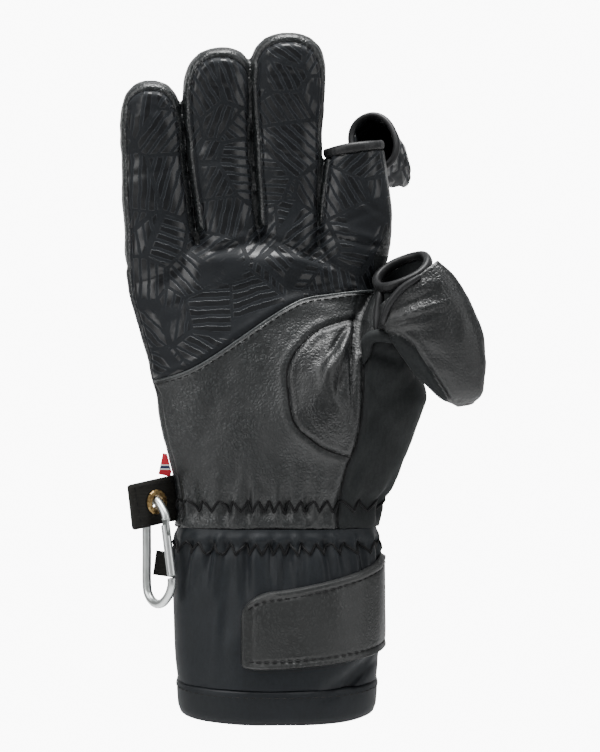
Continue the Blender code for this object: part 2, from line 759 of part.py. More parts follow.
def strap(group, finish):
    """A leather band that starts at the front and goes round the right side to the back."""
    rows = []
    for step in range(STRAP_STEPS + 1):
        share = step / STRAP_STEPS
        angle = STRAP_START + (STRAP_END - STRAP_START) * share
        narrow = max(0.0, 1.0 - share * STRAP_TAPER_RATE)
        low = STRAP_FOOT - STRAP_LIFT_SHARE * STRAP_HEIGHT * narrow
        high = low + STRAP_HEIGHT * (1.0 - STRAP_TAPER_SHARE * narrow)
        end = min(step, STRAP_STEPS - step)
        trim = STRAP_HEIGHT * (0.10, 0.03)[end] if end < 2 else 0.0
        rows.append((angle, low + trim * 0.4, high - trim))
    mesh = bmesh.new()
    layers = []
    for angle, low, high in rows:
        line = []
        for grow in (STRAP_CLEARANCE, STRAP_CLEARANCE + STRAP_THICKNESS):
            for share in (0.0, 0.5, 1.0):
                height = low + (high - low) * share
                line.append(mesh.verts.new(cuff_surface(angle, height / CUFF_HEIGHT, grow)))
        layers.append([line[0], line[1], line[2], line[5], line[4], line[3]])
    for one, two in zip(layers, layers[1:]):
        for here, after in zip(range(6), [*range(1, 6), 0]):
            mesh.faces.new((one[here], one[after], two[after], two[here]))
    mesh.faces.new(layers[0])
    mesh.faces.new(layers[-1])
    dressed(finished("cuff_strap", mesh, group), finish)


def cuff_surface(angle, up, grow):
    row = interpolated(CUFF, up)
    across, along = rounded(angle, CUFF_ROUND)
    point = Vector((
        CUFF_OFFSET + (CUFF_WIDTH * row.width / 2.0 + grow) * across,
        (CUFF_DEPTH * row.depth / 2.0 + grow) * along,
        up * CUFF_HEIGHT,
    ))
    point.z += HEM_RISE * (point.y / CUFF_DEPTH + 0.5) * max(0.0, 1.0 - up / 0.5)
    return point


def bindings(group, cutters, finishes):
    """Folded bindings that close the raw edges of the index tube and the thumb tube."""
    index = FINGERS[-1]
    rim = STUB_PROFILE[-1]
    index_turn = tilted(INDEX_RISE, 0.0)
    index_centre = finger_centre(index, 1.0)
    index_half = (finger_half_width(index, rim), FINGER_DEPTH * rim.depth / 2.0)
    thumb_turn = tilted(THUMB_RISE, THUMB_DIP)
    thumb_half = (THUMB_WIDTH / 2.0, THUMB_DEPTH / 2.0)
    for name, centre, half, turn in (
        ("index_binding", index_centre, index_half, index_turn),
        ("thumb_binding", thumb_centre(1.0), thumb_half, thumb_turn),
    ):
        outer, inner = [], []
        for share, proud in ((0.0, 0.3), (0.25, 1.0), (0.75, 1.0), (1.0, 0.0)):
            shift = turn @ Vector((0.0, 0.0, SEAM_GAP + share * BINDING_HEIGHT))
            grow = BINDING_PROUD * proud
            outer.append(ring(centre + shift, half[0] + grow, half[1] + grow, FINGER_SIDES,
                              FINGER_ROUND, turn))
        for share in (-1.0, 2.0):
            shift = turn @ Vector((0.0, 0.0, share * BINDING_HEIGHT))
            inset = BINDING_THICKNESS - BINDING_PROUD
            inner.append(ring(centre + shift, half[0] - inset, half[1] - inset, FINGER_SIDES,
                              FINGER_ROUND, turn))
        dressed(tube_between(name, outer, inner, group, cutters), finishes["binding"])


def thumb_cap_rings(inset=0.0):
    rim = thumb_centre(1.0)
    rings = []
    for row in THUMB_CAP:
        centre = rim + Vector((
            row.across * THUMB_CAP_WIDTH,
            row.forward * THUMB_CAP_DEPTH,
            row.up * THUMB_CAP_LENGTH,
        ))
        turn = Matrix.Rotation(-math.radians(row.tilt), 3, "Y")
        half_width = THUMB_CAP_WIDTH * row.width / 2.0 - inset
        half_depth = THUMB_CAP_DEPTH * row.depth / 2.0 - inset
        rings.append(ring(centre, half_width, half_depth, FINGER_SIDES, FINGER_ROUND, turn))
    return rings


def index_cap_rings(inset=0.0):
    """The fingertip behind the open index, its mouth towards the finger."""
    index = FINGERS[-1]
    rim = finger_centre(index, 1.0)
    mouth = rim + Vector((
        INDEX_CAP_ACROSS_SHARE * INDEX_CAP_WIDTH,
        FINGER_DEPTH / 2.0,
        BINDING_HEIGHT + INDEX_CAP_RISE_SHARE * INDEX_CAP_WIDTH,
    ))
    axis = Vector(INDEX_CAP_AXIS).normalized()
    upward = Vector(INDEX_CAP_UPWARD)
    upward = (upward - axis * upward.dot(axis)).normalized()
    beside = upward.cross(axis).normalized()
    turn = Matrix((beside, upward, axis)).transposed()
    rings = []
    for row in INDEX_CAP:
        centre = mouth + axis * row.along * INDEX_CAP_LENGTH
        centre += beside * row.right * 0.1 * INDEX_CAP_DEPTH - upward * row.drop * INDEX_CAP_WIDTH
        half_width = INDEX_CAP_DEPTH * row.width / 2.0 - inset
        half_depth = INDEX_CAP_WIDTH * row.depth / 2.0 - inset
        rings.append(ring(centre, half_width, half_depth, FINGER_SIDES, FINGER_ROUND, turn))
    return rings


def capped(rings, share, stretch):
    """The rings with a small last one, which rounds the cap's tip."""
    last, before = rings[-1], rings[-2]
    centre = sum(last, Vector()) / len(last)
    step = (centre - sum(before, Vector()) / len(before)) * stretch
    return [*rings, [centre + step + (point - centre) * share for point in last]]


def opened(rings):
    """The rings with an extra one in front of the mouth."""
    first, second = rings[0], rings[1]
    step = (sum(first, Vector()) - sum(second, Vector())) / len(first)
    return [[point + step.normalized() * OVERRUN for point in first], *rings]


def caps(group, cutters, finishes):
    tube = guide(lofted("thumb_keep_out", [
        *thumb_rings(-BINDING_PROUD - FIT),
        thumb_ring(THUMB[-1], -BINDING_PROUD - FIT, BINDING_HEIGHT + 2.0 * SEAM_GAP),
    ], cutters))
    outer = capped(list(thumb_cap_rings()), 0.45, 0.32)
    inner = opened(thumb_cap_rings(CAP_WALL)[:-1])
    cap = tube_between("thumb_cap", outer, inner, group, cutters)
    boolean(cap, tube, "DIFFERENCE")
    dressed(cap, finishes["leather"])
    outer = capped(list(index_cap_rings()), 0.45, 0.40)
    inner = opened(index_cap_rings(CAP_WALL)[:-1])
    cap = tube_between("index_cap", outer, inner, group, cutters)
    stub = lofted("index_keep_out", finger_rings(FINGERS[-1], -BINDING_PROUD - FIT), cutters)
    boolean(cap, guide(stub), "DIFFERENCE")
    dressed(cap, finishes["softshell"])


def tab_turn():
    return Matrix.Rotation(TAB_TURN, 4, "Z")


def tab_root():
    """Where the tab leaves the side seam of the wrist."""
    up = (TAB_UP - CUFF_HEIGHT) / PALM_HEIGHT
    return Vector((hand_left(up), SIDE_SEAM_SHARE * PALM_DEPTH, TAB_UP))


def eyelet_centre():
    return tab_root() + tab_turn().to_3x3() @ Vector((-EYELET_PLACE, 0.0, 0.0))


def box(name, size, centre, turn, group, corner=0.0):
    mesh = bmesh.new()
    bmesh.ops.create_cube(mesh, size=1.0)
    bmesh.ops.scale(mesh, verts=mesh.verts, vec=size)
    made = finished(name, mesh, group)
    made.matrix_world = Matrix.Translation(centre) @ turn
    if corner:
        bevel = made.modifiers.new("rounded corners", "BEVEL")
        bevel.width = corner
        bevel.segments = 2
    return made


def drum(name, radius, length, centre, turn, group, sides=FINGER_SIDES):
    """A cylinder along the turned Y axis."""
    mesh = bmesh.new()
    bmesh.ops.create_cone(mesh, cap_ends=True, segments=sides, radius1=radius, radius2=radius, depth=length)
    bmesh.ops.rotate(mesh, verts=mesh.verts, cent=(0, 0, 0), matrix=Matrix.Rotation(math.pi / 2.0, 3, "X"))
    made = finished(name, mesh, group)
    made.matrix_world = Matrix.Translation(centre) @ turn
    return made


def hand_keep_out(cutters):
    """The hand and cuff with a small clearance, for what is sewn to their side."""
    levels = (0.6, 0.75, 0.85, 0.92, 0.985)
    cuff = [cuff_ring(up, FIT + GATHER_DEPTH * (up > 0.8), HAND_SIDES) for up in levels]
    hand = [hand_ring(row, -FIT, HAND_SIDES) for row in HAND if row.up < 0.4]
    return guide(lofted("side_keep_out", [*cuff, *hand], cutters))


def side_tab(group, cutters, finishes):
    keep_out = hand_keep_out(cutters)
    turn = tab_turn() @ Matrix.Rotation(-TAB_DROOP, 4, "Y")
    reach = TAB_LENGTH + 2.0 * EDGE_WRAP
    centre = tab_root() + tab_turn().to_3x3() @ Vector((-TAB_LENGTH / 2.0 + EDGE_WRAP, 0.0, 0.0))
    tab = box("side_tab", (reach, TAB_THICKNESS, TAB_HEIGHT), centre, turn, group, TAB_CORNER)
    barrel = EYELET_HOLE + EYELET_WALL + FIT
    hole = guide(drum("eyelet_seat", barrel, 3.0 * TAB_THICKNESS, eyelet_centre(), tab_turn(), cutters))
    boolean(tab, hole, "DIFFERENCE")
    boolean(tab, keep_out, "DIFFERENCE")
    dressed(tab, finishes["tab"])
    label_up = (LABEL_UP - CUFF_HEIGHT) / PALM_HEIGHT
    label_centre = Vector((
        hand_left(label_up) - LABEL_OUT_SHARE * LABEL_WIDTH, SIDE_SEAM_SHARE * PALM_DEPTH, LABEL_UP,
    ))
    label_turn = Matrix.Rotation(LABEL_LEAN, 4, "Y")
    label = box("side_label", (LABEL_WIDTH, LABEL_THICKNESS, LABEL_HEIGHT), label_centre, label_turn, group)
    boolean(label, keep_out, "DIFFERENCE")
    dressed(label, finishes["label"])
    pull_centre = Vector((
        CUFF_OFFSET - CUFF_WIDTH / 2.0 - PULL_OUT_SHARE * PULL_WIDTH, SIDE_SEAM_SHARE * CUFF_DEPTH, PULL_UP,
    ))
    pull_turn = Matrix.Rotation(PULL_LEAN, 4, "Y")
    pull = box("pull_tab", (PULL_WIDTH, PULL_THICKNESS, PULL_HEIGHT), pull_centre, pull_turn, group)
    boolean(pull, keep_out, "DIFFERENCE")
    dressed(pull, finishes["tab"])


def eyelet(group, finish):
    """A turned brass eyelet: a barrel through the tab with a flange on each face."""
    seat = TAB_THICKNESS / 2.0 + FIT
    face = seat + EYELET_FLANGE
    barrel = EYELET_HOLE + EYELET_WALL
    profile = (
        (EYELET_HOLE, face), (EYELET_RADIUS - EYELET_FLANGE / 2.0, face),
        (EYELET_RADIUS, face - EYELET_FLANGE / 2.0), (EYELET_RADIUS, seat), (barrel, seat),
        (barrel, -seat), (EYELET_RADIUS, -seat), (EYELET_RADIUS, -face + EYELET_FLANGE / 2.0),
        (EYELET_RADIUS - EYELET_FLANGE / 2.0, -face), (EYELET_HOLE, -face),
    )
    mesh = bmesh.new()
    verts = [mesh.verts.new((radius, 0.0, height)) for radius, height in profile]
    for here, after in zip(verts, [*verts[1:], verts[0]]):
        mesh.edges.new((here, after))
    data = bpy.data.meshes.new("eyelet")
    mesh.to_mesh(data)
    mesh.free()
    made = bpy.data.objects.new("eyelet", data)
    group.objects.link(made)
    made.matrix_world = (
        Matrix.Translation(eyelet_centre()) @ tab_turn() @ Matrix.Rotation(math.pi / 2.0, 4, "X")
    )
    screw = made.modifiers.new("turned", "SCREW")
    screw.steps = FINGER_SIDES
    screw.render_steps = FINGER_SIDES
    screw.use_merge_vertices = True
    screw.merge_threshold = 0.0001
    made.data.materials.append(finish)
    return made


def carabiner_point(across, down):
    """A point in the carabiner's plane, which passes through the eyelet's axis."""
    return eyelet_centre() + tab_turn().to_3x3() @ Vector((0.0, -across, -down))


def carabiner_route():
    """The wire's centre line: from the gate's hinge over the eyelet, down, round and up to the nose."""
    points = [(GATE_TOP_ACROSS, GATE_TOP - 2.0 * WIRE_RADIUS)]
    for point in CARABINER:
        width = CARABINER_FRONT if point.across > 0.0 else CARABINER_BACK
        points.append((point.across * width, point.down * CARABINER_DROP))
    return [*points, (CARABINER_FRONT, GATE_TOP + GATE_LENGTH + GATE_SHORT)]


def wire(name, points, group, sides=2):
    curve = bpy.data.curves.new(name, "CURVE")
    curve.dimensions = "3D"
    curve.bevel_depth = WIRE_RADIUS
    curve.bevel_resolution = sides
    curve.use_fill_caps = True
    line = curve.splines.new("POLY")
    line.points.add(len(points) - 1)
    for slot, point in zip(line.points, points):
        slot.co = (*point, 1.0)
    drawn = bpy.data.objects.new(f"{name} line", curve)
    group.objects.link(drawn)
    mesh = evaluated_mesh(drawn, name)
    work = bmesh.new()
    work.from_mesh(mesh)
    bmesh.ops.remove_doubles(work, verts=work.verts, dist=0.00001)
    made = finished(name, work, group)
    bpy.data.objects.remove(drawn, do_unlink=True)
    return made


def carabiner(group, cutters, finish):
    route = smooth(carabiner_route())
    body = wire("carabiner_body", [carabiner_point(*point) for point in route], group)
    hinge = carabiner_point(GATE_TOP_ACROSS, GATE_TOP)
    across = tab_turn() @ Matrix.Rotation(math.pi / 2.0, 4, "Z")
    neck_size = (2.0 * TONGUE_RADIUS, TONGUE_THICKNESS, 2.5 * WIRE_RADIUS)
    neck_centre = carabiner_point(GATE_TOP_ACROSS, GATE_TOP - 1.1 * WIRE_RADIUS)
    neck = guide(box("tongue_neck", neck_size, neck_centre, across, cutters))
    tongue = guide(drum("tongue", TONGUE_RADIUS, TONGUE_THICKNESS, hinge, across, cutters))
    bore = guide(drum("pin_hole", PIN_RADIUS + FIT, 4.0 * TONGUE_THICKNESS, hinge, across, cutters, 16))
    boolean(body, neck, "UNION")
    boolean(body, tongue, "UNION")
    boolean(body, bore, "DIFFERENCE")
    dressed(body, finish)
    start = (GATE_TOP_ACROSS, GATE_TOP)
    end = (CARABINER_FRONT, GATE_TOP + GATE_LENGTH)
    run = Vector(end) - Vector(start)
    head = Vector(start) - run.normalized() * WIRE_RADIUS
    gate = wire("carabiner_gate", [carabiner_point(*head), carabiner_point(*end)], group)
    slot_turn = across @ Matrix.Rotation(math.atan2(run.x, run.y), 4, "Y")
    slot_size = (4.0 * WIRE_RADIUS, TONGUE_THICKNESS + 2.0 * FIT, 2.0 * (TONGUE_RADIUS + 2.0 * FIT))
    slot = guide(box("gate_slot", slot_size, hinge, slot_turn, cutters))
    pin = guide(drum("gate_pin", PIN_RADIUS, 2.0 * WIRE_RADIUS - 2.0 * FIT, hinge, across, cutters, 12))
    boolean(gate, slot, "DIFFERENCE")
    boolean(gate, pin, "UNION")
    dressed(gate, finish)
    axle = bpy.data.objects.new("gate_axle", None)
    axle.location = hinge
    group.objects.link(axle)
    gate.parent = axle
    gate.matrix_parent_inverse = Matrix.Translation(-hinge)


def main():
    clear_scene()
    group = collection("photography_glove")
    cutters = collection("cutters")
    finishes = {
        "leather": material("leather", (0.043, 0.049, 0.048), 0.55),
        "softshell": material("softshell", (0.017, 0.020, 0.024), 0.72),
        "binding": material("binding", (0.019, 0.020, 0.022), 0.60),
        "tab": material("tab", (0.020, 0.020, 0.016), 0.80),
        "label": material("label", (0.560, 0.020, 0.035), 0.75),
        "brass": material("brass", (0.190, 0.125, 0.055), 0.38, 1.0),
        "aluminium": material("aluminium", (0.520, 0.540, 0.530), 0.32, 1.0),
    }
    hand_panels(group, cutters, finishes)
    cuff_and_hem(group, cutters, finishes)
    strap(group, finishes["leather"])
    bindings(group, cutters, finishes)
    caps(group, cutters, finishes)
    side_tab(group, cutters, finishes)
    eyelet(group, finishes["brass"])
    carabiner(group, cutters, finishes["aluminium"])


main()
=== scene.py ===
"""The visual model of a right-hand photography glove, dressed over its CAD frame, in metres."""
import math
from collections import namedtuple

import bmesh
import bpy
import numpy as np
from mathutils import Matrix, Vector, noise
from mathutils.bvhtree import BVHTree
from mathutils.kdtree import KDTree


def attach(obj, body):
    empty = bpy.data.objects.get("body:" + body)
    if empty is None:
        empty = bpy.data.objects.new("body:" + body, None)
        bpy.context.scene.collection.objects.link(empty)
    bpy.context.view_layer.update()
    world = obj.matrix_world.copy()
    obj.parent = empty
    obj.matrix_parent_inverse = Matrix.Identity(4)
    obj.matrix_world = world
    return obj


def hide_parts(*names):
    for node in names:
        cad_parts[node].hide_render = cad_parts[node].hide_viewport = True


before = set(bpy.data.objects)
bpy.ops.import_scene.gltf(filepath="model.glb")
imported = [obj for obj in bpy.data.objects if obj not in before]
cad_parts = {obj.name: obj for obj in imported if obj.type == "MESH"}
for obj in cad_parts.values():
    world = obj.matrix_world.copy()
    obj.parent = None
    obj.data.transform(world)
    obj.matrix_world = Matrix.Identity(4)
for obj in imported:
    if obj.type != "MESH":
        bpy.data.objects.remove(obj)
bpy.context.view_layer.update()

scene = bpy.context.scene

# The hand of the glove: panels of softshell and leather, sewn into one padded shell with three
# closed fingers, an open index tube and an open thumb tube. Its panels are cut from this one
# shell, so that they meet along their seams; the seams are drawn in and the edges beside them puff.
WALL = 0.0022
EDGE_WRAP = 0.0018
HAND_ROUND = 2.4
FINGER_ROUND = 2.2
OVERRUN = 0.012
CUFF_HEIGHT = 0.078
PALM_HEIGHT = 0.112
PALM_WIDTH = 0.105
PALM_DEPTH = 0.046
KNUCKLE_ARCH = 0.007
SEAM_LEVEL = -0.0035
SIDE_WRAP = 0.009
CURL_RATIO = 0.07
FINGER_ROOT_SHARE = 0.84
FINGER_DEPTH = 0.025
FINGER_CURL = 0.009
FINGER_SWELL = 0.00045
TIP_WRAP = 0.0042
TIP_STEPS = 14
INDEX_RISE = math.radians(8.7)
THUMB_ROOT = (0.329, -0.110, 0.395)
THUMB_LENGTH = 0.061
THUMB_WIDTH = 0.025
THUMB_DEPTH = 0.024
THUMB_LEAN = math.radians(15.0)
THUMB_FORWARD = math.radians(9.5)
THUMB_RISE = math.radians(27.0)
THUMB_DIP = math.radians(22.0)
THUMB_TOP_SHARE = 0.985
THUMB_INNER_SHARE = 0.366
SIDE_OUTER_SHARE = 0.9
BLIND_ACROSS = 0.29
BLIND_UP = 0.665
HAND_SIDES = 200
FINGER_SIDES = 64
LINING_SIDES = 40
SEAM_GAP = 0.00003
VOXEL = 0.00075
DEEPEST = -0.00175
GROOVE_DEPTH = GROOVE_WIDTH = 0.00085
PUFF_HEIGHT = 0.00028
PUFF_AWAY = 0.0024
PUFF_WIDTH = 0.0013
GATHER_DEPTH = 0.000935
BOW = 0.003


def table(fields, rows):
    """Rows whose values have names."""
    kind = namedtuple("Row", fields)
    return [kind(*row) for row in rows]


# Lengths in these tables are shares of the palm's size, of the finger's or of the thumb's.
HAND = table("up left right front back arch", (
    (0, 0.41, 0.386, 0.5, 0.5, 0), (0.03, 0.404, 0.392, 0.505, 0.505, 0),
    (0.065, 0.398, 0.394, 0.49, 0.49, 0), (0.1, 0.402, 0.396, 0.5, 0.495, 0),
    (0.14, 0.408, 0.436, 0.51, 0.5, 0), (0.19, 0.418, 0.463, 0.525, 0.5, 0),
    (0.25, 0.434, 0.488, 0.54, 0.495, 0), (0.33, 0.456, 0.522, 0.55, 0.48, 0),
    (0.41, 0.473, 0.552, 0.55, 0.46, 0), (0.48, 0.481, 0.572, 0.54, 0.44, 0),
    (0.55, 0.5, 0.548, 0.515, 0.42, 0), (0.62, 0.518, 0.505, 0.48, 0.4, 0),
    (0.69, 0.54, 0.452, 0.44, 0.38, 0), (0.76, 0.562, 0.404, 0.4, 0.365, 0),
    (0.83, 0.585, 0.39, 0.365, 0.35, 0.1), (0.89, 0.595, 0.39, 0.335, 0.335, 0.3),
    (0.94, 0.598, 0.388, 0.305, 0.31, 0.6), (0.975, 0.56, 0.35, 0.2, 0.21, 0.9),
))
FINGERS = table("length width taper places closed", (
    (0.0875, 0.0272, -0.32, (-0.433, -0.467, -0.493, -0.499), True),
    (0.1008, 0.0262, 0.16, (-0.176, -0.204, -0.238, -0.225), True),
    (0.1068, 0.0272, 0.33, (0.043, 0.035, 0.030, 0.031), True),
    (0.0580, 0.0268, -0.12, (0.271, 0.283, 0.289, 0.290), False),
))
MIDDLE, INDEX = FINGERS[2:]
FINGER_PROFILE = table("along width depth", (
    (0, 0.7, 0.75), (0.16, 1, 1.04), (0.28, 0.98, 0.98), (0.36, 0.97, 0.92), (0.46, 0.99, 0.99),
    (0.57, 0.98, 0.96), (0.64, 0.97, 0.91), (0.73, 1, 0.98), (0.84, 1, 0.99), (0.9, 0.94, 0.94),
    (0.945, 0.81, 0.82), (0.98, 0.57, 0.6),
))
STUB_PROFILE = table("along width depth", (
    (0, 0.62, 0.7), (0.25, 1.06, 1.02), (0.5, 1.17, 1), (0.75, 1.1, 0.98), (1, 0.96, 0.96),
))
THUMB = table("along width depth tilt", (
    (0, 1.28, 1.26, 0), (0.25, 1.27, 1.28, 0), (0.5, 1.13, 1.14, 0.2), (0.75, 1.03, 1.04, 0.6),
    (1, 1, 1, 1),
))
# Soft folds on the palm side: across, up, turn in degrees, length, width and depth.
FOLDS = (
    (0.09, 1.005, -24, 0.32, 0.034, 0.055), (-0.21, 1, 18, 0.2, 0.04, -0.03),
    (-0.415, 0.92, 19, 0.14, 0.05, 0.045), (-0.05, 0.96, 5, 0.42, 0.07, -0.035),
    (0.117, 0.87, 0, 0.2, 0.055, 0.06), (-0.19, 0.42, 60, 0.5, 0.2, 0.045),
    (0.18, 0.49, 78, 0.42, 0.15, -0.11), (0.15, 0.65, 80, 0.12, 0.03, 0.035),
    (0.43, 0.33, -52, 0.22, 0.045, 0.04),
)
# Seams: across and up.
PATCH_TOP = (
    (-0.492, 0.534), (-0.359, 0.571), (-0.238, 0.636), (-0.102, 0.724), (0.011, 0.794), (0.098, 0.834),
    (0.195, 0.848), (0.276, 0.858), (0.368, 0.864),
)
THUMB_SEAM = (
    (0.372, 0.7), (0.345, 0.742), (0.285, 0.757), (0.152, 0.721), (0.07, 0.654), (0.031, 0.581),
    (0.031, 0.494), (0.054, 0.388), (0.125, 0.321), (0.188, 0.285), (0.273, 0.259),
)
SIDE_SEAM_LOW = (
    (0.223, -0.08), (0.223, 0), (0.227, 0.091), (0.254, 0.215), (0.273, 0.259),
)
SIDE_SEAM_HIGH = (
    (0.273, 0.259), (0.3, 0.329), (0.318, 0.453), (0.322, 0.57), (0.338, 0.655), (0.372, 0.7),
)
GUSSET_SEAM = (
    (0.372, 0.7), (0.376, 0.78), (0.368, 0.864),
)
SHOULDER = PATCH_TOP[-1][1] + 0.02
SIDE_FOOT = SIDE_SEAM_LOW[0][1]
# Sharper folds, in millimetres and degrees: on the palm side (1) or the back (0), x, z, turn,
# length, width and depth. A negative depth is a ridge.
CREASES = (
    (1, 9, 190.5, -23, 36, 1.3, 1.15), (1, 8, 187, -23, 34, 2.2, -0.7), (1, 12, 183.5, -14, 26, 1.5, 0.6),
    (1, -22.5, 191.5, 18, 22, 1.2, 0.75), (1, -23.5, 194, 18, 20, 1.8, -0.6),
    (1, -48, 181, 20, 18, 1.4, 0.8), (1, -49, 184.5, 22, 18, 2, -0.45), (1, 29.5, 194.7, -13, 24, 1.2, 1),
    (1, 30, 197.6, -13, 22, 1.8, -0.55), (1, 31, 204, 20, 14, 1.3, 0.4), (1, 36, 209, -35, 12, 1.4, 0.45),
    (1, 14, 174.5, 3, 20, 3, 0.7), (1, -10, 178, 12, 26, 2.2, 0.4), (1, -38, 170, 16, 24, 2, 0.4),
    (1, 25.4, 150.6, 72, 17, 2.4, -2.9), (1, 23, 153.4, 56, 15, 1.1, 1.3), (1, 29.2, 147, 88, 38, 0.9, 1.7),
    (1, 19.4, 142, 74, 13, 2.4, -1.9), (1, 24.2, 138.6, 80, 15, 1.8, 1.6),
    (1, 21.6, 131.5, 104, 22, 2.6, -0.9), (1, 16.6, 152, 46, 18, 2.6, -0.7),
    (1, 33.2, 166.5, 60, 15, 1.5, 1.2), (1, 36.4, 167, 66, 15, 1.3, -1.2),
    (1, 43.5, 147.6, -12, 11, 2.6, 1.6), (1, 40, 143, 40, 16, 2.6, -0.5), (1, 38, 125, 66, 34, 2, 0.7),
    (1, 45, 132, 55, 30, 2.2, 0.8), (1, 36, 108, 58, 28, 1.8, 0.7), (1, 42, 116, 50, 26, 2.2, -0.5),
    (1, 31, 100, 75, 20, 1.6, 0.6), (1, 48, 155, 30, 20, 1.6, 0.7), (1, 50, 166, -18, 16, 1.5, 0.6),
    (1, 41, 168, 62, 16, 1.4, 0.6), (1, -30, 118, 74, 50, 4, 0.55), (1, -18, 101, 84, 26, 2.2, 0.45),
    (1, 4, 98, 96, 22, 2, 0.45), (1, 20, 97, 82, 20, 1.8, 0.5), (1, 8, 168, 16, 34, 2.6, -0.45),
    (1, 22, 170, 4, 16, 1.6, 0.4), (1, -8, 108, 100, 40, 4.5, 0.4), (1, 12, 104, 86, 30, 3.5, 0.4),
    (1, 6, 130, -50, 34, 4, 0.35), (1, -53, 222, 8, 22, 1.6, 0.45), (1, -52, 247, -6, 20, 1.6, 0.35),
    (1, -24.5, 227, 6, 22, 1.6, 0.45), (1, -23.5, 256, -8, 20, 1.6, 0.35), (1, 4, 229, -6, 22, 1.6, 0.45),
    (1, 3, 261, 6, 20, 1.6, 0.35), (0, -52, 224, 4, 24, 1.5, 0.6), (0, -52, 246, -4, 22, 1.4, 0.45),
    (0, -24, 228, 4, 24, 1.5, 0.6), (0, -24, 256, -4, 22, 1.4, 0.45), (0, 4, 230, -4, 24, 1.5, 0.6),
    (0, 3, 262, 4, 22, 1.4, 0.45), (0, 0, 184, 6, 60, 3.2, 0.6), (0, -35, 182, -8, 40, 2.6, 0.55),
    (0, 20, 128, 60, 60, 4, 0.7), (0, -20, 112, 100, 60, 4, 0.6), (0, 36, 118, 60, 40, 3, 0.8),
)


def rounded(angle, power):
    """The unit point at this angle on a rounded square section."""
    parts = math.cos(angle), math.sin(angle)
    return [math.copysign(abs(part) ** (2.0 / power), part) for part in parts]


def ring(centre, half_width, half_depth, sides, power, turn=Matrix.Identity(3)):
    """One section: its points run counter-clockwise seen from above."""
    spots = (rounded(math.tau * step / sides, power) for step in range(sides))
    return [Vector(centre) + turn @ Vector((half_width * across, half_depth * along, 0.0))
            for across, along in spots]


def along_beside(x, z, degrees):
    """How far a point lies along and beside a direction in the X, Z plane."""
    cosine, sine = math.cos(math.radians(degrees)), math.sin(math.radians(degrees))
    return x * cosine + z * sine, z * cosine - x * sine


def relief(point, folds, width, depth, floor, height):
    """How far the palm side's folds move this point backwards."""
    moved = 0.0
    for across, up, turn, length, breadth, sink in folds:
        along, beside = along_beside(point.x - across * width, point.z - floor - up * height, turn)
        reach = (2.0 * along / (length * width)) ** 4 + (beside / (breadth * width)) ** 2
        moved += sink * depth * math.exp(-min(reach, 50.0))
    return moved


def hand_z(up):
    return CUFF_HEIGHT + up * PALM_HEIGHT


def interpolated(rows, up):
    """The row at this height, each of its values between its neighbours'."""
    for low, high in zip(rows, rows[1:]):
        if up <= high.up:
            break
    share = (up - low.up) / (high.up - low.up)
    return type(low)(*(a + (b - a) * share for a, b in zip(low, high)))


def dense(rows, steps=5):
    """The table's rows with smooth ones between them."""
    return [type(rows[0])(*row) for row in smooth(rows, steps)]


def hand_ring(row, inset, sides):
    left, right = row.left * PALM_WIDTH, row.right * PALM_WIDTH
    front, back = row.front * PALM_DEPTH, row.back * PALM_DEPTH
    centre = Vector(((right - left) / 2.0, (back - front) / 2.0, hand_z(row.up)))
    half_width = (left + right) / 2.0 - inset
    points = ring(centre, half_width, (front + back) / 2.0 - inset, sides, HAND_ROUND)
    for point in points:
        share = (point.x - centre.x) / half_width
        point.z += row.arch * KNUCKLE_ARCH * (1.0 - share * share)
        if point.y < centre.y:
            point.y += relief(point, FOLDS, PALM_WIDTH, PALM_DEPTH, CUFF_HEIGHT, PALM_HEIGHT)
    return points


def hand_left(up):
    return -interpolated(HAND, up).left * PALM_WIDTH


def finger_x(finger, along):
    """The finger's centre line: a smooth curve through its four places."""
    levels = (0.0, 0.3, 0.65, 1.0)
    total = 0.0
    for place, level in zip(finger.places, levels):
        rivals = [rival for rival in levels if rival != level]
        total += place * math.prod((along - rival) / (level - rival) for rival in rivals)
    return total * PALM_WIDTH


def finger_centre(finger, along):
    return Vector((
        finger_x(finger, along),
        -FINGER_CURL * (along * finger.length / MIDDLE.length) ** 2,
        hand_z(FINGER_ROOT_SHARE) + along * finger.length,
    ))


def finger_half_width(finger, row):
    return finger.width * row.width * (1.0 + finger.taper * (row.along - 0.5)) / 2.0


def tilted(rise, dip):
    """A section's turn: its right side rises and its front dips."""
    return Matrix.Rotation(-rise, 3, "Y") @ Matrix.Rotation(dip, 3, "X")


def finger_rings(finger, inset=0.0, sides=FINGER_SIDES):
    """The finger's sections; the closed ones swell a little, so that they lie against each other."""
    rings = []
    for row in dense(FINGER_PROFILE if finger.closed else STUB_PROFILE):
        centre = finger_centre(finger, row.along)
        if finger.closed:
            centre.z -= inset * row.along
        rise = 0.0 if finger.closed else INDEX_RISE * row.along
        half_depth = FINGER_DEPTH * row.depth / 2.0 - inset
        half_width = finger_half_width(finger, row) - inset + (FINGER_SWELL if finger.closed else 0.0)
        rings.append(ring(centre, half_width, half_depth, sides, FINGER_ROUND, tilted(rise, 0.0)))
    if finger.closed:
        tip = finger_centre(finger, 1.0) - Vector((0.0, 0.0, inset))
        half_width = finger_half_width(finger, FINGER_PROFILE[-1]) - inset
        for share, back in ((0.75, 0.45), (0.35, 0.0)):
            place = tip - Vector((0.0, 0.0, back * 0.02 * finger.length))
            rings.append(ring(place, half_width * share, half_width * share * 0.9, sides, 2.0))
    elif inset:
        rings.append([point + Vector((0.0, 0.0, OVERRUN)) for point in rings[-1]])
    return rings


def thumb_centre(along):
    across, forward, up = THUMB_ROOT
    root = Vector((across * PALM_WIDTH, forward * PALM_DEPTH, hand_z(up)))
    run = along * THUMB_LENGTH
    return root + Vector((
        run * math.sin(THUMB_LEAN),
        -run * math.sin(THUMB_FORWARD),
        run * math.cos(THUMB_LEAN) * math.cos(THUMB_FORWARD),
    ))


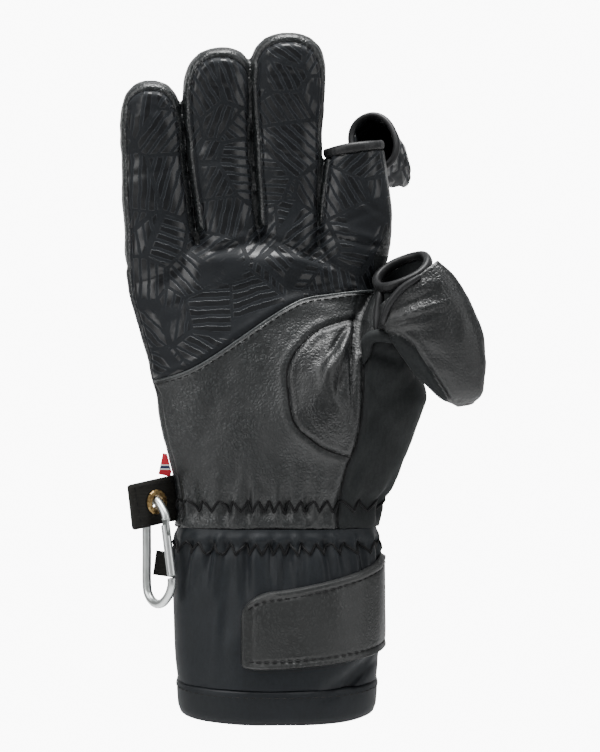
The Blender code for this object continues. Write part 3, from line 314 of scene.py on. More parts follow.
def thumb_ring(row, inset, shift=0.0):
    turn = tilted(THUMB_RISE * row.tilt, THUMB_DIP * row.tilt)
    centre = thumb_centre(row.along) + turn @ Vector((0.0, 0.0, shift))
    half_width = THUMB_WIDTH * row.width / 2.0 - inset
    half_depth = THUMB_DEPTH * row.depth / 2.0 - inset
    return ring(centre, half_width, half_depth, FINGER_SIDES, FINGER_ROUND, turn)


def thumb_rings(inset=0.0):
    rings = [thumb_ring(row, inset) for row in dense(THUMB)]
    if inset > 0.0:
        rings.append(thumb_ring(THUMB[-1], inset, OVERRUN))
    return rings


def smooth(points, steps=8):
    """A curve through the points, with this many steps between neighbours."""
    curve = []
    rows = [points[0], *points, points[-1]]
    for quad in zip(rows, rows[1:], rows[2:], rows[3:]):
        for step in range(steps):
            share = step / steps
            square, cube = share * share, share ** 3
            curve.append(tuple(
                0.5 * (2 * b + (c - a) * share + (2 * a - 5 * b + 4 * c - d) * square
                       + (3 * b - a - 3 * c + d) * cube)
                for a, b, c, d in zip(*quad)
            ))
    return [*curve, tuple(points[-1])]


def seam(points):
    """A seam's curve in the X, Z plane."""
    return [(across * PALM_WIDTH, hand_z(up)) for across, up in smooth(points)]


def widened(outline, amount):
    """The counter-clockwise outline, moved outwards everywhere by this amount."""
    moved = []
    count = len(outline)
    for index, point in enumerate(outline):
        here = Vector(point)
        back = (here - Vector(outline[index - 1])).normalized()
        ahead = (Vector(outline[(index + 1) % count]) - here).normalized()
        outward = Vector((back.y + ahead.y, -back.x - ahead.x))
        if outward.length < 1e-6:
            outward = Vector((back.y, -back.x))
        outward.normalize()
        spread = max(0.5, outward.dot(Vector((back.y, -back.x))))
        moved.append(here + outward * amount / spread)
    return moved


def without_repeats(outline):
    kept = []
    for point in outline:
        if not kept or (Vector(point) - Vector(kept[-1])).length > 1e-4:
            kept.append(tuple(point))
    return kept[:-1] if (Vector(kept[0]) - Vector(kept[-1])).length < 1e-4 else kept


def finger_edge(finger, row, side):
    half = finger_half_width(finger, row) - EDGE_WRAP * (1.35 if side < 0.0 else 0.45)
    centre = finger_centre(finger, row.along)
    return (centre.x + side * half, centre.z)


def finger_front_outline():
    """Round the fingers' fronts from right to left, then along the palm patch."""
    outline = []
    for finger in reversed(FINGERS):
        profile = FINGER_PROFILE if finger.closed else STUB_PROFILE
        rows = [row for row in profile if finger_centre(finger, row.along).z > hand_z(1.0)]
        if finger.closed:
            shrink = 1.0 - TIP_WRAP / finger.length
            rows = [row._replace(along=row.along * shrink) for row in rows if row.along < 0.93]
        right, left = ([finger_edge(finger, row, side) for row in rows] for side in (1.0, -1.0))
        low = right[-1][1]
        arc = [(right[-1][0], low + OVERRUN), (left[-1][0], left[-1][1] + OVERRUN)]
        if finger.closed:
            half = (right[-1][0] - left[-1][0]) / 2.0
            top = finger_centre(finger, 1.0).z - TIP_WRAP
            turns = (rounded(math.pi * step / TIP_STEPS, 2.15) for step in range(1, TIP_STEPS))
            arc = [(finger_x(finger, 1.0) + half * across, low + (top - low) * rise)
                   for across, rise in turns]
        outline += [*right, *arc, *reversed(left)]
    left_edge = [(hand_left(up) + EDGE_WRAP, hand_z(up)) for up in (0.94, 0.83, 0.76, 0.69, 0.62)]
    shoulder = [(THUMB_INNER_SHARE * PALM_WIDTH, hand_z(up)) for up in (SHOULDER, THUMB_TOP_SHARE)]
    return without_repeats([*outline, *left_edge, *seam(PATCH_TOP), *shoulder])


def palm_outline():
    edge = [(hand_left(row.up) + EDGE_WRAP, hand_z(row.up)) for row in HAND if row.up < 0.5]
    return without_repeats([
        (edge[0][0], hand_z(SIDE_FOOT)), *seam(SIDE_SEAM_LOW), *reversed(seam(THUMB_SEAM)),
        *seam(GUSSET_SEAM), *reversed(seam(PATCH_TOP)), *reversed(edge),
    ])


def side_outline():
    inner, outer = THUMB_INNER_SHARE * PALM_WIDTH, SIDE_OUTER_SHARE * PALM_WIDTH
    low, top = hand_z(SIDE_FOOT), hand_z(THUMB_TOP_SHARE)
    return without_repeats([
        (outer, low), (outer, top), (inner, top), (inner, hand_z(SHOULDER)),
        *reversed(seam(GUSSET_SEAM)), *reversed(seam(SIDE_SEAM_HIGH)),
        *reversed(seam(SIDE_SEAM_LOW)),
    ])


def join_rows(mesh, rows, looped=False):
    """Adds the faces between sections that follow each other, and the ends unless they loop."""
    rows = [[mesh.verts.new(point) for point in points] for points in rows]
    for low, high in zip(rows, [*rows[1:], rows[0]] if looped else rows[1:]):
        for here, after in zip(range(len(low)), [*range(1, len(low)), 0]):
            mesh.faces.new((low[here], low[after], high[after], high[here]))
    if not looped:
        mesh.faces.new(reversed(rows[0]))
        mesh.faces.new(rows[-1])


def object_of(name, mesh):
    bmesh.ops.recalc_face_normals(mesh, faces=mesh.faces)
    data = bpy.data.meshes.new(name)
    mesh.to_mesh(data)
    mesh.free()
    made = bpy.data.objects.new(name, data)
    scene.collection.objects.link(made)
    return made


def built(name, rows, looped=False):
    mesh = bmesh.new()
    join_rows(mesh, rows, looped)
    return object_of(name, mesh)


def applied(item):
    """Gives the object the mesh that its modifiers make."""
    graph = bpy.context.evaluated_depsgraph_get()
    graph.update()
    data = bpy.data.meshes.new_from_object(item.evaluated_get(graph), depsgraph=graph)
    item.modifiers.clear()
    item.data = data
    return item


def eased(item, rounds):
    """Applies the object's modifiers and smooths it a little."""
    relax = item.modifiers.new("soften", "SMOOTH")
    relax.factor = 0.5
    relax.iterations = rounds
    return applied(item)


def cut_with(item, other, operation):
    """Changes the object by a boolean with the other one, which goes."""
    modifier = item.modifiers.new(operation, "BOOLEAN")
    modifier.operation = operation
    modifier.solver = "MANIFOLD"
    modifier.object = other
    applied(item)
    bpy.data.objects.remove(other, do_unlink=True)


def surface_of(item):
    """The object's points and their normals."""
    found = np.empty((2, len(item.data.vertices) * 3))
    item.data.vertices.foreach_get("co", found[0])
    item.data.vertices.foreach_get("normal", found[1])
    return found[0].reshape(-1, 3), found[1].reshape(-1, 3)


def push(item, points, normals, amounts):
    """Moves each point along its normal."""
    item.data.vertices.foreach_set("co", (points + normals * amounts[:, None]).reshape(-1))
    item.data.update()


def skin_of(item):
    """The object's faces, to lay threads on."""
    return BVHTree.FromPolygons([item.matrix_world @ vert.co for vert in item.data.vertices],
                                [face.vertices for face in item.data.polygons])


def softened(item, angle=35.0):
    item.data.shade_smooth()
    item.data.set_sharp_from_angle(angle=math.radians(angle))


def inside(points, outline):
    """Which of the points lie inside the outline, seen from the front."""
    x, z = points[:, 0], points[:, 2]
    found = np.zeros(len(points), bool)
    for (x1, z1), (x2, z2) in zip(outline, [*outline[1:], outline[0]]):
        crosses = (z1 > z) != (z2 > z)
        if crosses.any():
            at = x1 + (z - z1) * (x2 - x1) / ((z2 - z1) or 1e-12)
            found ^= crosses & (x < at)
    return found


PANELS = {
    "finger_fronts": (finger_front_outline(), SEAM_LEVEL, CURL_RATIO),
    "palm_leather": (palm_outline(), SEAM_LEVEL, 0.0),
    "thumb_leather": (without_repeats([*seam(SIDE_SEAM_HIGH), *seam(THUMB_SEAM)]), SEAM_LEVEL, 0.0),
    "side_softshell": (side_outline(), SIDE_WRAP, 0.0),
}


def panel_numbers(points):
    """Which panel each point belongs to, with 0 for the back."""
    numbers = np.zeros(len(points), int)
    for number, (outline, level, slope) in enumerate(PANELS.values(), 1):
        ahead = points[:, 1] < level - slope * (points[:, 2] - hand_z(FINGER_ROOT_SHARE))
        numbers[inside(points, outline) & ahead] = number
    return numbers


def seam_places(item, points):
    """Points where the surface passes from one panel to the next, without the blind seam."""
    edges = np.empty(len(item.data.edges) * 2, int)
    item.data.edges.foreach_get("vertices", edges)
    edges = edges.reshape(-1, 2)
    numbers = panel_numbers(points)
    edges = edges[numbers[edges[:, 0]] != numbers[edges[:, 1]]]
    low, high = points[edges[:, 0]].copy(), points[edges[:, 1]].copy()
    start = numbers[edges[:, 0]]
    for _ in range(5):
        middle = (low + high) / 2.0
        same = panel_numbers(middle) == start
        low[same] = middle[same]
        high[~same] = middle[~same]
    places = (low + high) / 2.0
    blind = (places[:, 0] > BLIND_ACROSS * PALM_WIDTH) & (places[:, 2] > hand_z(BLIND_UP))
    return places[~blind]


def wave_noise(points, scale, seed):
    """Smooth noise between about -1 and 1 at each point."""
    shift = Vector((seed * 7.3, seed * 3.1, seed * 5.7))
    return np.array([noise.noise(Vector(point) * scale + shift) for point in points])


def creased(points, normals, creases):
    """How far each point moves along its normal for these folds."""
    moved = np.zeros(len(points))
    for front, x, z, turn, length, width, depth in creases:
        along, beside = along_beside(points[:, 0] * 1000.0 - x, points[:, 2] * 1000.0 - z, turn)
        reach = (2.0 * along / length) ** 2 + ((beside + BOW * along ** 2) / width) ** 2
        facing = np.clip((-2.0 if front else 2.0) * normals[:, 1] + 0.3, 0.0, 1.0)
        moved -= 0.001 * depth * np.exp(-np.minimum(reach, 50.0)) * facing
    return moved


def gathers(points, middle, count, low, high, fade_low, fade_high, seed):
    """Sewn-in gathers between two heights: uneven upright folds that die away beyond them."""
    angle = np.arctan2(points[:, 1], points[:, 0] - middle)
    bend = 0.35 * np.sin(3.0 * angle + seed) + 0.25 * np.sin(7.0 * angle + 2.0 * seed)
    sway = 0.5 * np.sin(points[:, 2] * 160.0 + 5.0 * angle)
    wave = np.cos(count * angle + 3.0 * bend + sway)
    wave += 0.45 * np.cos(1.7 * count * angle + 2.0 + 4.0 * bend)
    below = np.clip((points[:, 2] - (low - fade_low)) / fade_low, 0.0, 1.0)
    above = np.clip(((high + fade_high) - points[:, 2]) / fade_high, 0.0, 1.0)
    return GATHER_DEPTH * wave * (below * above) ** 1.5


def hand_surface():
    mesh = bmesh.new()
    for rings in ([hand_ring(row, 0.0, HAND_SIDES) for row in dense(HAND)],
                  *(finger_rings(finger) for finger in FINGERS), thumb_rings()):
        join_rows(mesh, rings)
    made = object_of("hand_surface", mesh)
    remesh = made.modifiers.new("one skin", "REMESH")
    remesh.mode = "VOXEL"
    remesh.voxel_size = VOXEL
    points, normals = surface_of(eased(made, 5))
    places = seam_places(made, points)
    tree = KDTree(len(places))
    for index, place in enumerate(places):
        tree.insert(place, index)
    tree.balance()
    away = np.array([tree.find(point)[2] for point in points])
    moved = creased(points, normals, CREASES)
    moved -= GROOVE_DEPTH * np.exp(-(away / GROOVE_WIDTH) ** 2)
    moved += PUFF_HEIGHT * np.exp(-((away - PUFF_AWAY) / PUFF_WIDTH) ** 2)
    moved += gathers(points, middle=-0.001, count=20, low=0.085, high=0.088,
                     fade_low=0.0075, fade_high=0.016, seed=1.0)
    moved += 0.00028 * wave_noise(points, 90.0, 1.0) + 0.00016 * wave_noise(points, 240.0, 2.0)
    push(made, points, normals, np.maximum(moved, DEEPEST))
    return made


def hand_hollow():
    rows = [hand_ring(row, WALL, LINING_SIDES) for row in HAND[:-1]]
    made = built("hand_hollow", [[point - Vector((0.0, 0.0, OVERRUN)) for point in rows[0]], *rows])
    for rings in (*(finger_rings(finger, WALL, LINING_SIDES) for finger in FINGERS),
                  thumb_rings(WALL)):
        cut_with(made, built("tube_hollow", rings), "UNION")
    return made


def column(outline, level, slope, amount):
    """The panel's outline, run from in front of the palm to its back edge."""
    mesh = bmesh.new()
    corners = [(x, -3.0 * PALM_DEPTH, z) for x, z in widened(outline, amount)]
    base = mesh.faces.new([mesh.verts.new(corner) for corner in corners])
    grown = bmesh.ops.extrude_face_region(mesh, geom=[base])
    for vert in grown["geom"]:
        if isinstance(vert, bmesh.types.BMVert):
            vert.co.y = level + amount - slope * (vert.co.z - hand_z(FINGER_ROOT_SHARE))
    bmesh.ops.triangulate(mesh, faces=mesh.faces)
    return object_of("column", mesh)


surface = hand_surface()
SKIN = skin_of(surface)
cut_with(surface, hand_hollow(), "DIFFERENCE")


def hand_piece(name, skin, node, *cuts):
    """Cuts one piece from the shell: each cut is a panel's outline, the gap and what is done."""
    made = bpy.data.objects.new(name, surface.data.copy())
    scene.collection.objects.link(made)
    for panel, gap, operation in cuts:
        cut_with(made, column(*panel, gap), operation)
    return fitted(made, skin, "glove", node)


def clad(item, skin):
    item.data.materials.clear()
    item.data.materials.append(skin)


def fitted(made, skin, body, *nodes):
    """Gives a finished piece its material and smooth shading, hangs it on its body and hides the CAD nodes
    that it stands for.
    """
    clad(made, skin)
    softened(made)
    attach(made, body)
    if nodes:
        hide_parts(*nodes)
    return made


# Shader parts that every cloth and leather piece shares: each group puts out only masks and
# heights, and the materials below keep their own Principled shader.
def feed(node, inputs):
    """Sets the node's inputs to values or links them to sockets; _ stands for a space."""
    for key, value in inputs.items():
        socket = node.inputs[key.replace("_", " ") if isinstance(key, str) else key]
        if isinstance(value, bpy.types.NodeSocket):
            node.id_data.links.new(value, socket)
        else:
            socket.default_value = (*value, 1.0) if socket.type == "RGBA" else value


def add(tree, kind, inputs=None, **settings):
    """A shader node with its settings and inputs."""
    made = tree.nodes.new("ShaderNode" + kind)
    for key, value in settings.items():
        setattr(made, key, value)
    feed(made, inputs or {})
    return made


def maths(operation, *values, clamp=False):
    """A sum in the tree of its first socket."""
    tree = next(value for value in values if isinstance(value, bpy.types.NodeSocket)).id_data
    made = add(tree, "Math", dict(enumerate(values)), operation=operation, use_clamp=clamp)
    return made.outputs[0]


def times(first, second):
    return maths("MULTIPLY", first, second)


def plus(first, second):
    return maths("ADD", first, second)


def step_up(value, low, high, start=0.0, end=1.0):
    """The value, eased from start at low to end at high."""
    return add(value.id_data, "MapRange", {0: value, 1: low, 2: high, 3: start, 4: end},
               interpolation_type="SMOOTHSTEP").outputs[0]


def spot_in(tree):
    return add(tree, "TexCoord").outputs["Object"]


def split(vector):
    return add(vector.id_data, "SeparateXYZ", {0: vector}).outputs


def cells(vector, scale, feature="DISTANCE_TO_EDGE", chance=1.0):
    return add(vector.id_data, "TexVoronoi",
               {"Vector": vector, "Scale": scale, "Randomness": chance}, feature=feature).outputs


def fuzz(vector, scale, detail=3.0):
    return add(vector.id_data, "TexNoise", {"Vector": vector, "Scale": scale, "Detail": detail}).outputs[0]


def bumped(height, strength, distance):
    inputs = {"Height": height, "Strength": strength, "Distance": distance}
    return add(height.id_data, "Bump", inputs).outputs[0]


def blended(share, first, second):
    return add(share.id_data, "MixRGB", {0: share, 1: first, 2: second}).outputs[0]


def new_group(name):
    tree = bpy.data.node_groups.new(name, "ShaderNodeTree")
    return tree, spot_in(tree)


def with_outputs(tree, **outputs):
    for label in outputs:
        tree.interface.new_socket(label, in_out="OUTPUT", socket_type="NodeSocketFloat")
    feed(tree.nodes.new("NodeGroupOutput"), outputs)
    return tree


def leather_grain():
    """Pebbled grain: rounded cells of two sizes, with slow wear."""
    tree, spot = new_group("leather_grain")
    shift = add(tree, "TexNoise", {"Vector": spot, "Scale": 420.0}).outputs[1]
    bent = add(tree, "MixRGB", {0: 0.0012, 1: spot, 2: shift}, blend_type="ADD").outputs[0]
    large = step_up(cells(bent, 640.0)[0], 0.0, 0.36)
    small = step_up(cells(bent, 1500.0)[0], 0.0, 0.35)
    slow = fuzz(spot, 45.0)
    height = times(plus(times(large, 0.85), times(small, 0.15)), step_up(slow, 0.3, 0.7, 0.55, 1.0))
    return with_outputs(tree, Height=height, Wear=slow)


def softshell_weave():
    """Fine woven face of the softshell, slightly slubbed."""
    tree, spot = new_group("softshell_weave")
    stretched = add(tree, "Mapping", {"Vector": spot, "Scale": (900.0, 900.0, 320.0)}).outputs[0]
    height = plus(times(fuzz(spot, 1500.0, 2.0), 0.5), times(fuzz(stretched, 1.0, 2.0), 0.5))
    return with_outputs(tree, Height=height, Shade=fuzz(spot, 60.0))


def grip_print():
    """Glossy print: patches of rounded bars, each turned its own way, with bare cloth between, and a band
    round each bar where the painted highlight of its rim goes.
    """
    tree, spot = new_group("grip_print")
    x, _, z = split(spot)
    flat = add(tree, "CombineXYZ", {"X": x, "Y": 0.0, "Z": z}).outputs[0]
    turn = times(split(cells(flat, 52.0, "F1", 0.85)["Color"])[0], math.pi)
    rim = cells(flat, 52.0, "DISTANCE_TO_EDGE", 0.85)[0]
    across = plus(times(x, maths("COSINE", turn)), times(z, maths("SINE", turn)))
    across = plus(across, times(fuzz(flat, 160.0), 0.0020))
    wave = maths("SINE", times(across, math.tau / 0.0034))
    shown = times(step_up(rim, 0.026, 0.040), step_up(fuzz(flat, 46.0, 4.0), 0.38, 0.45))
    band = maths("SUBTRACT", step_up(wave, -0.72, -0.52), step_up(wave, -0.42, -0.15))
    return with_outputs(tree, Mask=times(step_up(wave, -0.50, -0.25), shown), Edge=times(band, shown))


GRAIN, WEAVE, PRINT = leather_grain(), softshell_weave(), grip_print()
PRINT_TONE = (0.0026, 0.0032, 0.0042)
# The lighter tone painted on the bars' rims: a painted highlight for glints on the print's raised edges.
PRINT_EDGE_GLINT_TONE = (0.0200, 0.0240, 0.0290)


def new_material(name):
    made = bpy.data.materials.new(name)
    made.use_nodes = True
    tree = made.node_tree
    return made, tree, tree.nodes["Principled BSDF"]


def leather(name, dark, light, rough, depth):
    made, tree, shader = new_material(name)
    height, wear = add(tree, "Group", node_tree=GRAIN).outputs
    feed(shader, dict(
        Base_Color=blended(step_up(height, 0.25, 0.85), dark, light), Specular_IOR_Level=0.58,
        Roughness=step_up(wear, 0.3, 0.7, rough + 0.07, rough - 0.05),
        Normal=bumped(height, 0.8, depth)))
    return made


def softshell(name, dark, light, rough=0.50, shine=0.34, printed=False):
    made, tree, shader = new_material(name)
    weave, shade = add(tree, "Group", node_tree=WEAVE).outputs
    share = maths("ADD", times(shade, 0.6), times(step_up(weave, 0.35, 0.65), 0.5), clamp=True)
    tone, height = blended(share, dark, light), times(weave, 0.25)
    if printed:
        mask, edge = add(tree, "Group", node_tree=PRINT).outputs
        # The bars' rims are painted lighter: a painted highlight.
        tone = blended(edge, blended(mask, tone, PRINT_TONE), PRINT_EDGE_GLINT_TONE)
        rough = step_up(mask, 0.0, 1.0, rough, 0.33)
        shine = step_up(mask, 0.0, 1.0, 0.24, 0.40)
        height = plus(height, mask)
    feed(shader, dict(
        Base_Color=tone, Roughness=rough, Specular_IOR_Level=shine, Sheen_Weight=0.015,
        Sheen_Roughness=0.45, Normal=bumped(height, 0.55, 0.00022)))
    return made


# Fronts of the four fingers and the upper palm: stretch softshell with a glossy grip print,
# cut in one piece and sewn to the leather that wraps the fingertips and the finger sides.
PRINTED_SOFTSHELL = softshell("printed_softshell", (0.0034, 0.0046, 0.0062),
                              (0.0050, 0.0066, 0.0088), rough=0.66, printed=True)
fronts, palm, thumb, side = ((panel, -SEAM_GAP, "INTERSECT") for panel in PANELS.values())
hand_piece("finger_front_panel", PRINTED_SOFTSHELL, "finger_fronts", fronts)

# Palm patch: soft pebbled leather, sewn over the padded palm.
PALM_LEATHER = leather("palm_grain", (0.0040, 0.0052, 0.0055), (0.0104, 0.0130, 0.0134), 0.46, 0.00016)
hand_piece("palm_patch", PALM_LEATHER, "palm_leather", palm)

# Ball of the thumb: the same leather, painted darker as painted shade on the thumb ball, eased in round the
# thumb joint.
THUMB_SHADED_LEATHER = leather("thumb_grain_painted_shade", (0.0022, 0.0030, 0.0033), (0.0056, 0.0074, 0.0078), 0.43, 0.00016)
hand_piece("thumb_patch", THUMB_SHADED_LEATHER, "thumb_leather", thumb)

# Side below the thumb and the thumb's tube: plain stretch softshell.
PLAIN_SOFTSHELL = softshell("plain_softshell", (0.0062, 0.0074, 0.0078),
                            (0.0145, 0.0165, 0.0170), rough=0.74, shine=0.20)
hand_piece("thumb_side_panel", PLAIN_SOFTSHELL, "side_softshell", side)

# Back of the hand with the strips that wrap the fingertips and the finger sides: smoother goat leather, worn
# a little shinier than the palm. Its lighter grain tone is partly the leather's own and partly painted
# highlight for the lit fingertips.
WRAP_LEATHER = leather("wrap_grain", (0.0050, 0.0063, 0.0067), (0.0140, 0.0172, 0.0180), 0.37, 0.00020)
hand_piece("back_and_finger_wraps", WRAP_LEATHER, "hand_back",
           *((panel, SEAM_GAP, "DIFFERENCE") for panel in PANELS.values()))
bpy.data.objects.remove(surface, do_unlink=True)

# Bindings: strips of thin softshell folded over the raw edges of the index and thumb tubes and
# sewn down close to their lower edge.
BINDING_HEIGHT = 0.004
BINDING_PROUD = 0.0005
BINDING_THICKNESS = 0.0032
BINDING_SIDES = 96
BINDING_STEPS = 14
PUCKER = 0.00012
BINDING_CLOTH = softshell("binding_cloth", (0.0045, 0.0048, 0.0055), (0.0075, 0.0080, 0.0088))


def binding(name, node, centre, half, turn, seed):
    """A folded strip round a tube's rim: its section is a rounded upright loop, a little uneven."""
    rings = []
    for step in range(BINDING_STEPS):
        out, up = rounded(math.tau * step / BINDING_STEPS, 2.6)
        grow = BINDING_PROUD - BINDING_THICKNESS / 2.0 + out * BINDING_THICKNESS / 2.0
        points = ring(centre, half[0] + grow, half[1] + grow, BINDING_SIDES, FINGER_ROUND, turn)
        for index, point in enumerate(points):
            bearing = math.tau * index / BINDING_SIDES
            rise = BINDING_HEIGHT * (0.5 + 0.5 * up) * (1.0 + 0.06 * math.sin(3.0 * bearing + seed))
            pucker = PUCKER * math.sin(34.0 * bearing + seed) * max(0.0, out)
            outward = (point - centre).normalized()
            point += turn @ Vector((0.0, 0.0, rise)) + outward * pucker
        rings.append(points)
    fitted(built(name, rings, looped=True), BINDING_CLOTH, "glove", node)


rim = STUB_PROFILE[-1]
binding("index_rim_binding", "index_binding", finger_centre(INDEX, 1.0),
        (finger_half_width(INDEX, rim), FINGER_DEPTH * rim.depth / 2.0), tilted(INDEX_RISE, 0.0), 0.4)
binding("thumb_rim_binding", "thumb_binding", thumb_centre(1.0),
        (THUMB_WIDTH / 2.0, THUMB_DEPTH / 2.0), tilted(THUMB_RISE, THUMB_DIP), 1.7)

# Thumb cap: the leather tip of the thumb, folded off sideways, with a strip of softshell along
# its lower left edge. It creases where it folds away from the rim.
CAP_WALL = 0.0018
CAP_SIDES = 128
CAP_STEPS = 9
THUMB_CAP_LENGTH = 0.057
THUMB_CAP_WIDTH = 0.0356
THUMB_CAP_DEPTH = 0.02
THUMB_CAP = table("across up width depth forward tilt", (
    (0.03, -0.05, 0.83, 0.56, -0.8, 38), (0.13, -0.17, 0.98, 0.72, -0.78, 34),
    (0.272, -0.307, 1, 0.88, -0.72, 28), (0.427, -0.491, 0.944, 1, -0.6, 22),
    (0.54, -0.658, 0.787, 0.95, -0.5, 18), (0.632, -0.8, 0.56, 0.8, -0.42, 14),
    (0.668, -0.868, 0.4, 0.56, -0.39, 10), (0.682, -0.905, 0.21, 0.3, -0.37, 9),
))
CAP_CREASES = (
    (1, 53, 170.2, 25, 22, 1.7, 1.3), (1, 56, 166.6, 18, 28, 1.3, -1.2), (1, 49.5, 163, 15, 15, 0.8, 0.9),
    (1, 51.5, 160.9, 12, 18, 1.2, -0.8), (1, 56, 175.6, 20, 18, 2, -0.7), (1, 51, 158.2, 0, 16, 1.1, 0.5),
    (1, 60, 150, -30, 26, 2.4, 0.45), (1, 70, 158, 80, 26, 2.4, 0.35), (0, 62, 160, -40, 30, 2, 0.7),
    (0, 68, 148, -55, 26, 2, 0.6),
)
CAP_SEAM = ((41.5, 156), (48, 156.5), (54, 151.5), (60, 142.5), (65.5, 134), (72, 122))
CAP_STRIP_FRONT = -0.024


def thumb_cap_rings(inset=0.0):
    rings = []
    for row in dense(THUMB_CAP, CAP_STEPS):
        centre = thumb_centre(1.0) + Vector((
            row.across * THUMB_CAP_WIDTH, row.forward * THUMB_CAP_DEPTH, row.up * THUMB_CAP_LENGTH,
        ))
        half_width = THUMB_CAP_WIDTH * row.width / 2.0 - inset
        half_depth = THUMB_CAP_DEPTH * row.depth / 2.0 - inset
        turn = tilted(math.radians(row.tilt), 0.0)
        rings.append(ring(centre, half_width, half_depth, CAP_SIDES, FINGER_ROUND, turn))
    return rings


def centre_of(points):
    return sum(points, Vector()) / len(points)


def domed(rings, stretch, steps=7):
    """The rings with a rounded end."""
    last = rings[-1]
    centre = centre_of(last)
    step = (centre - centre_of(rings[-2])).normalized() * stretch
    made = list(rings)
    for index in range(1, steps + 1):
        angle = math.pi / 2.0 * index / (steps + 0.4)
        made.append([centre + step * math.sin(angle) + (point - centre) * math.cos(angle) for point in last])
    return made


def cap_shell(name, rings_of, stretch):
    """A cap with an open mouth: out along its outside, back along its inside."""
    inner = domed(rings_of(CAP_WALL)[:-CAP_STEPS], 0.002, 3)
    return built(name, [*reversed(inner), *domed(rings_of(), stretch)])


def crumpled(item, creases, slow, fine, sharp, seed):
    """Moves the surface by folds, soft noise and sharp creases, then eases it."""
    points, normals = surface_of(item)
    moved = creased(points, normals, creases)
    moved += slow * wave_noise(points, 110.0, seed) + fine * wave_noise(points, 300.0, seed + 1.0)
    moved -= sharp * np.exp(-(wave_noise(points, 120.0, seed + 2.0) / 0.09) ** 2)
    push(item, points, normals, moved)
    return eased(item, 4)


def beside_line(points, line):
    """Signed distance from the line in the X, Z plane, below it negative, in metres."""
    x, z = points[:, 0] * 1000.0, points[:, 2] * 1000.0
    best = np.full(len(points), 1e9)
    signed = np.zeros(len(points))
    for (x1, z1), (x2, z2) in zip(line, line[1:]):
        run = math.hypot(x2 - x1, z2 - z1)
        share = np.clip(((x - x1) * (x2 - x1) + (z - z1) * (z2 - z1)) / run ** 2, 0.0, 1.0)
        away = np.hypot(x - x1 - share * (x2 - x1), z - z1 - share * (z2 - z1))
        side = np.sign((x2 - x1) * (z - z1) - (z2 - z1) * (x - x1))
        closer = away < best
        best[closer] = away[closer]
        signed[closer] = (away * side)[closer]
    return signed / 1000.0


cap = crumpled(cap_shell("thumb_cap_shell", thumb_cap_rings, 0.0009), CAP_CREASES,
               slow=0.00050, fine=0.00018, sharp=0.00015, seed=3.0)
points, normals = surface_of(cap)
away = beside_line(points, CAP_SEAM)
facing = np.clip(-normals[:, 1] * 2.0 + 0.4, 0.0, 1.0)
groove = -0.0008 * np.exp(-(away / 0.0008) ** 2)
puff = 0.0003 * np.exp(-((np.abs(away) - 0.0022) / 0.0011) ** 2)
push(cap, points, normals, (groove + puff) * facing)
# The cap wears the thumb's darker leather, whose extra darkness is painted shade.
fitted(cap, THUMB_SHADED_LEATHER, "glove", "thumb_cap")
cap.data.materials.append(PLAIN_SOFTSHELL)
middles = np.array([face.center for face in cap.data.polygons])
below = (beside_line(middles, CAP_SEAM) < 0.0) & (middles[:, 1] < CAP_STRIP_FRONT)
cap.data.polygons.foreach_set("material_index", below.astype(int))

# Index cap: the printed softshell fingertip of the index, folded behind the open tube and
# crumpled, its mouth towards the finger.
INDEX_CAP_LENGTH = 0.03
INDEX_CAP_WIDTH = 0.024
INDEX_CAP_DEPTH = 0.0185
INDEX_CAP_AXIS = (0.35, 0.90, -0.26)
INDEX_CAP_UPWARD = (-0.45, 0.00, 0.89)
INDEX_CAP_ACROSS_SHARE = 0.34
INDEX_CAP_RISE_SHARE = 0.06
INDEX_CAP = table("along right width depth drop", (
    (0, 0, 1, 1, 0), (0.22, 0.1, 1.03, 1.06, -0.02), (0.5, 0.22, 0.98, 1, 0.04),
    (0.75, 0.3, 0.82, 0.84, 0.12), (0.92, 0.34, 0.52, 0.55, 0.2),
))
INDEX_CREASES = (
    (1, 43, 236, -60, 16, 1.2, 0.9), (1, 47, 233, -50, 18, 1.2, 0.9), (1, 49, 228, -66, 16, 1.2, 0.8),
    (1, 45, 228, -35, 16, 1.4, -0.6), (0, 46, 232, 40, 20, 1.6, 0.8), (0, 48, 226, -30, 20, 1.6, 0.6),
)


def index_cap_rings(inset=0.0, sides=CAP_SIDES):
    mouth = finger_centre(INDEX, 1.0) + Vector((
        INDEX_CAP_ACROSS_SHARE * INDEX_CAP_WIDTH,
        FINGER_DEPTH / 2.0,
        BINDING_HEIGHT + INDEX_CAP_RISE_SHARE * INDEX_CAP_WIDTH,
    ))
    axis = Vector(INDEX_CAP_AXIS).normalized()
    upward = Vector(INDEX_CAP_UPWARD)
    upward = (upward - axis * upward.dot(axis)).normalized()
    beside = upward.cross(axis).normalized()
    turn = Matrix((beside, upward, axis)).transposed()
    rings = []
    for row in dense(INDEX_CAP, CAP_STEPS):
        centre = mouth + axis * row.along * INDEX_CAP_LENGTH
        centre += beside * row.right * 0.1 * INDEX_CAP_DEPTH - upward * row.drop * INDEX_CAP_WIDTH
        half_width = INDEX_CAP_DEPTH * row.width / 2.0 - inset
        half_depth = INDEX_CAP_WIDTH * row.depth / 2.0 - inset
        rings.append(ring(centre, half_width, half_depth, sides, FINGER_ROUND, turn))
    return rings


def tube_along(mesh, points, radius, sides=6, taper=0.0):
    """Adds a round thread or roll along the points; a taper thins it towards its ends."""
    rows = []
    last = len(points) - 1
    for index, point in enumerate(points):
        thick = radius * (1.0 - taper * abs(2.0 * index / last - 1.0) ** 3)
        thick *= 0.45 if index in (0, last) else 1.0
        ahead = (points[min(index + 1, last)] - points[max(index - 1, 0)]).normalized()
        side = ahead.cross(Vector((0.13, 0.94, 0.31))).normalized()
        up = side.cross(ahead)
        turns = (math.tau * step / sides for step in range(sides))
        rows.append([point + (side * math.cos(turn) + up * math.sin(turn)) * thick for turn in turns])
    join_rows(mesh, rows)


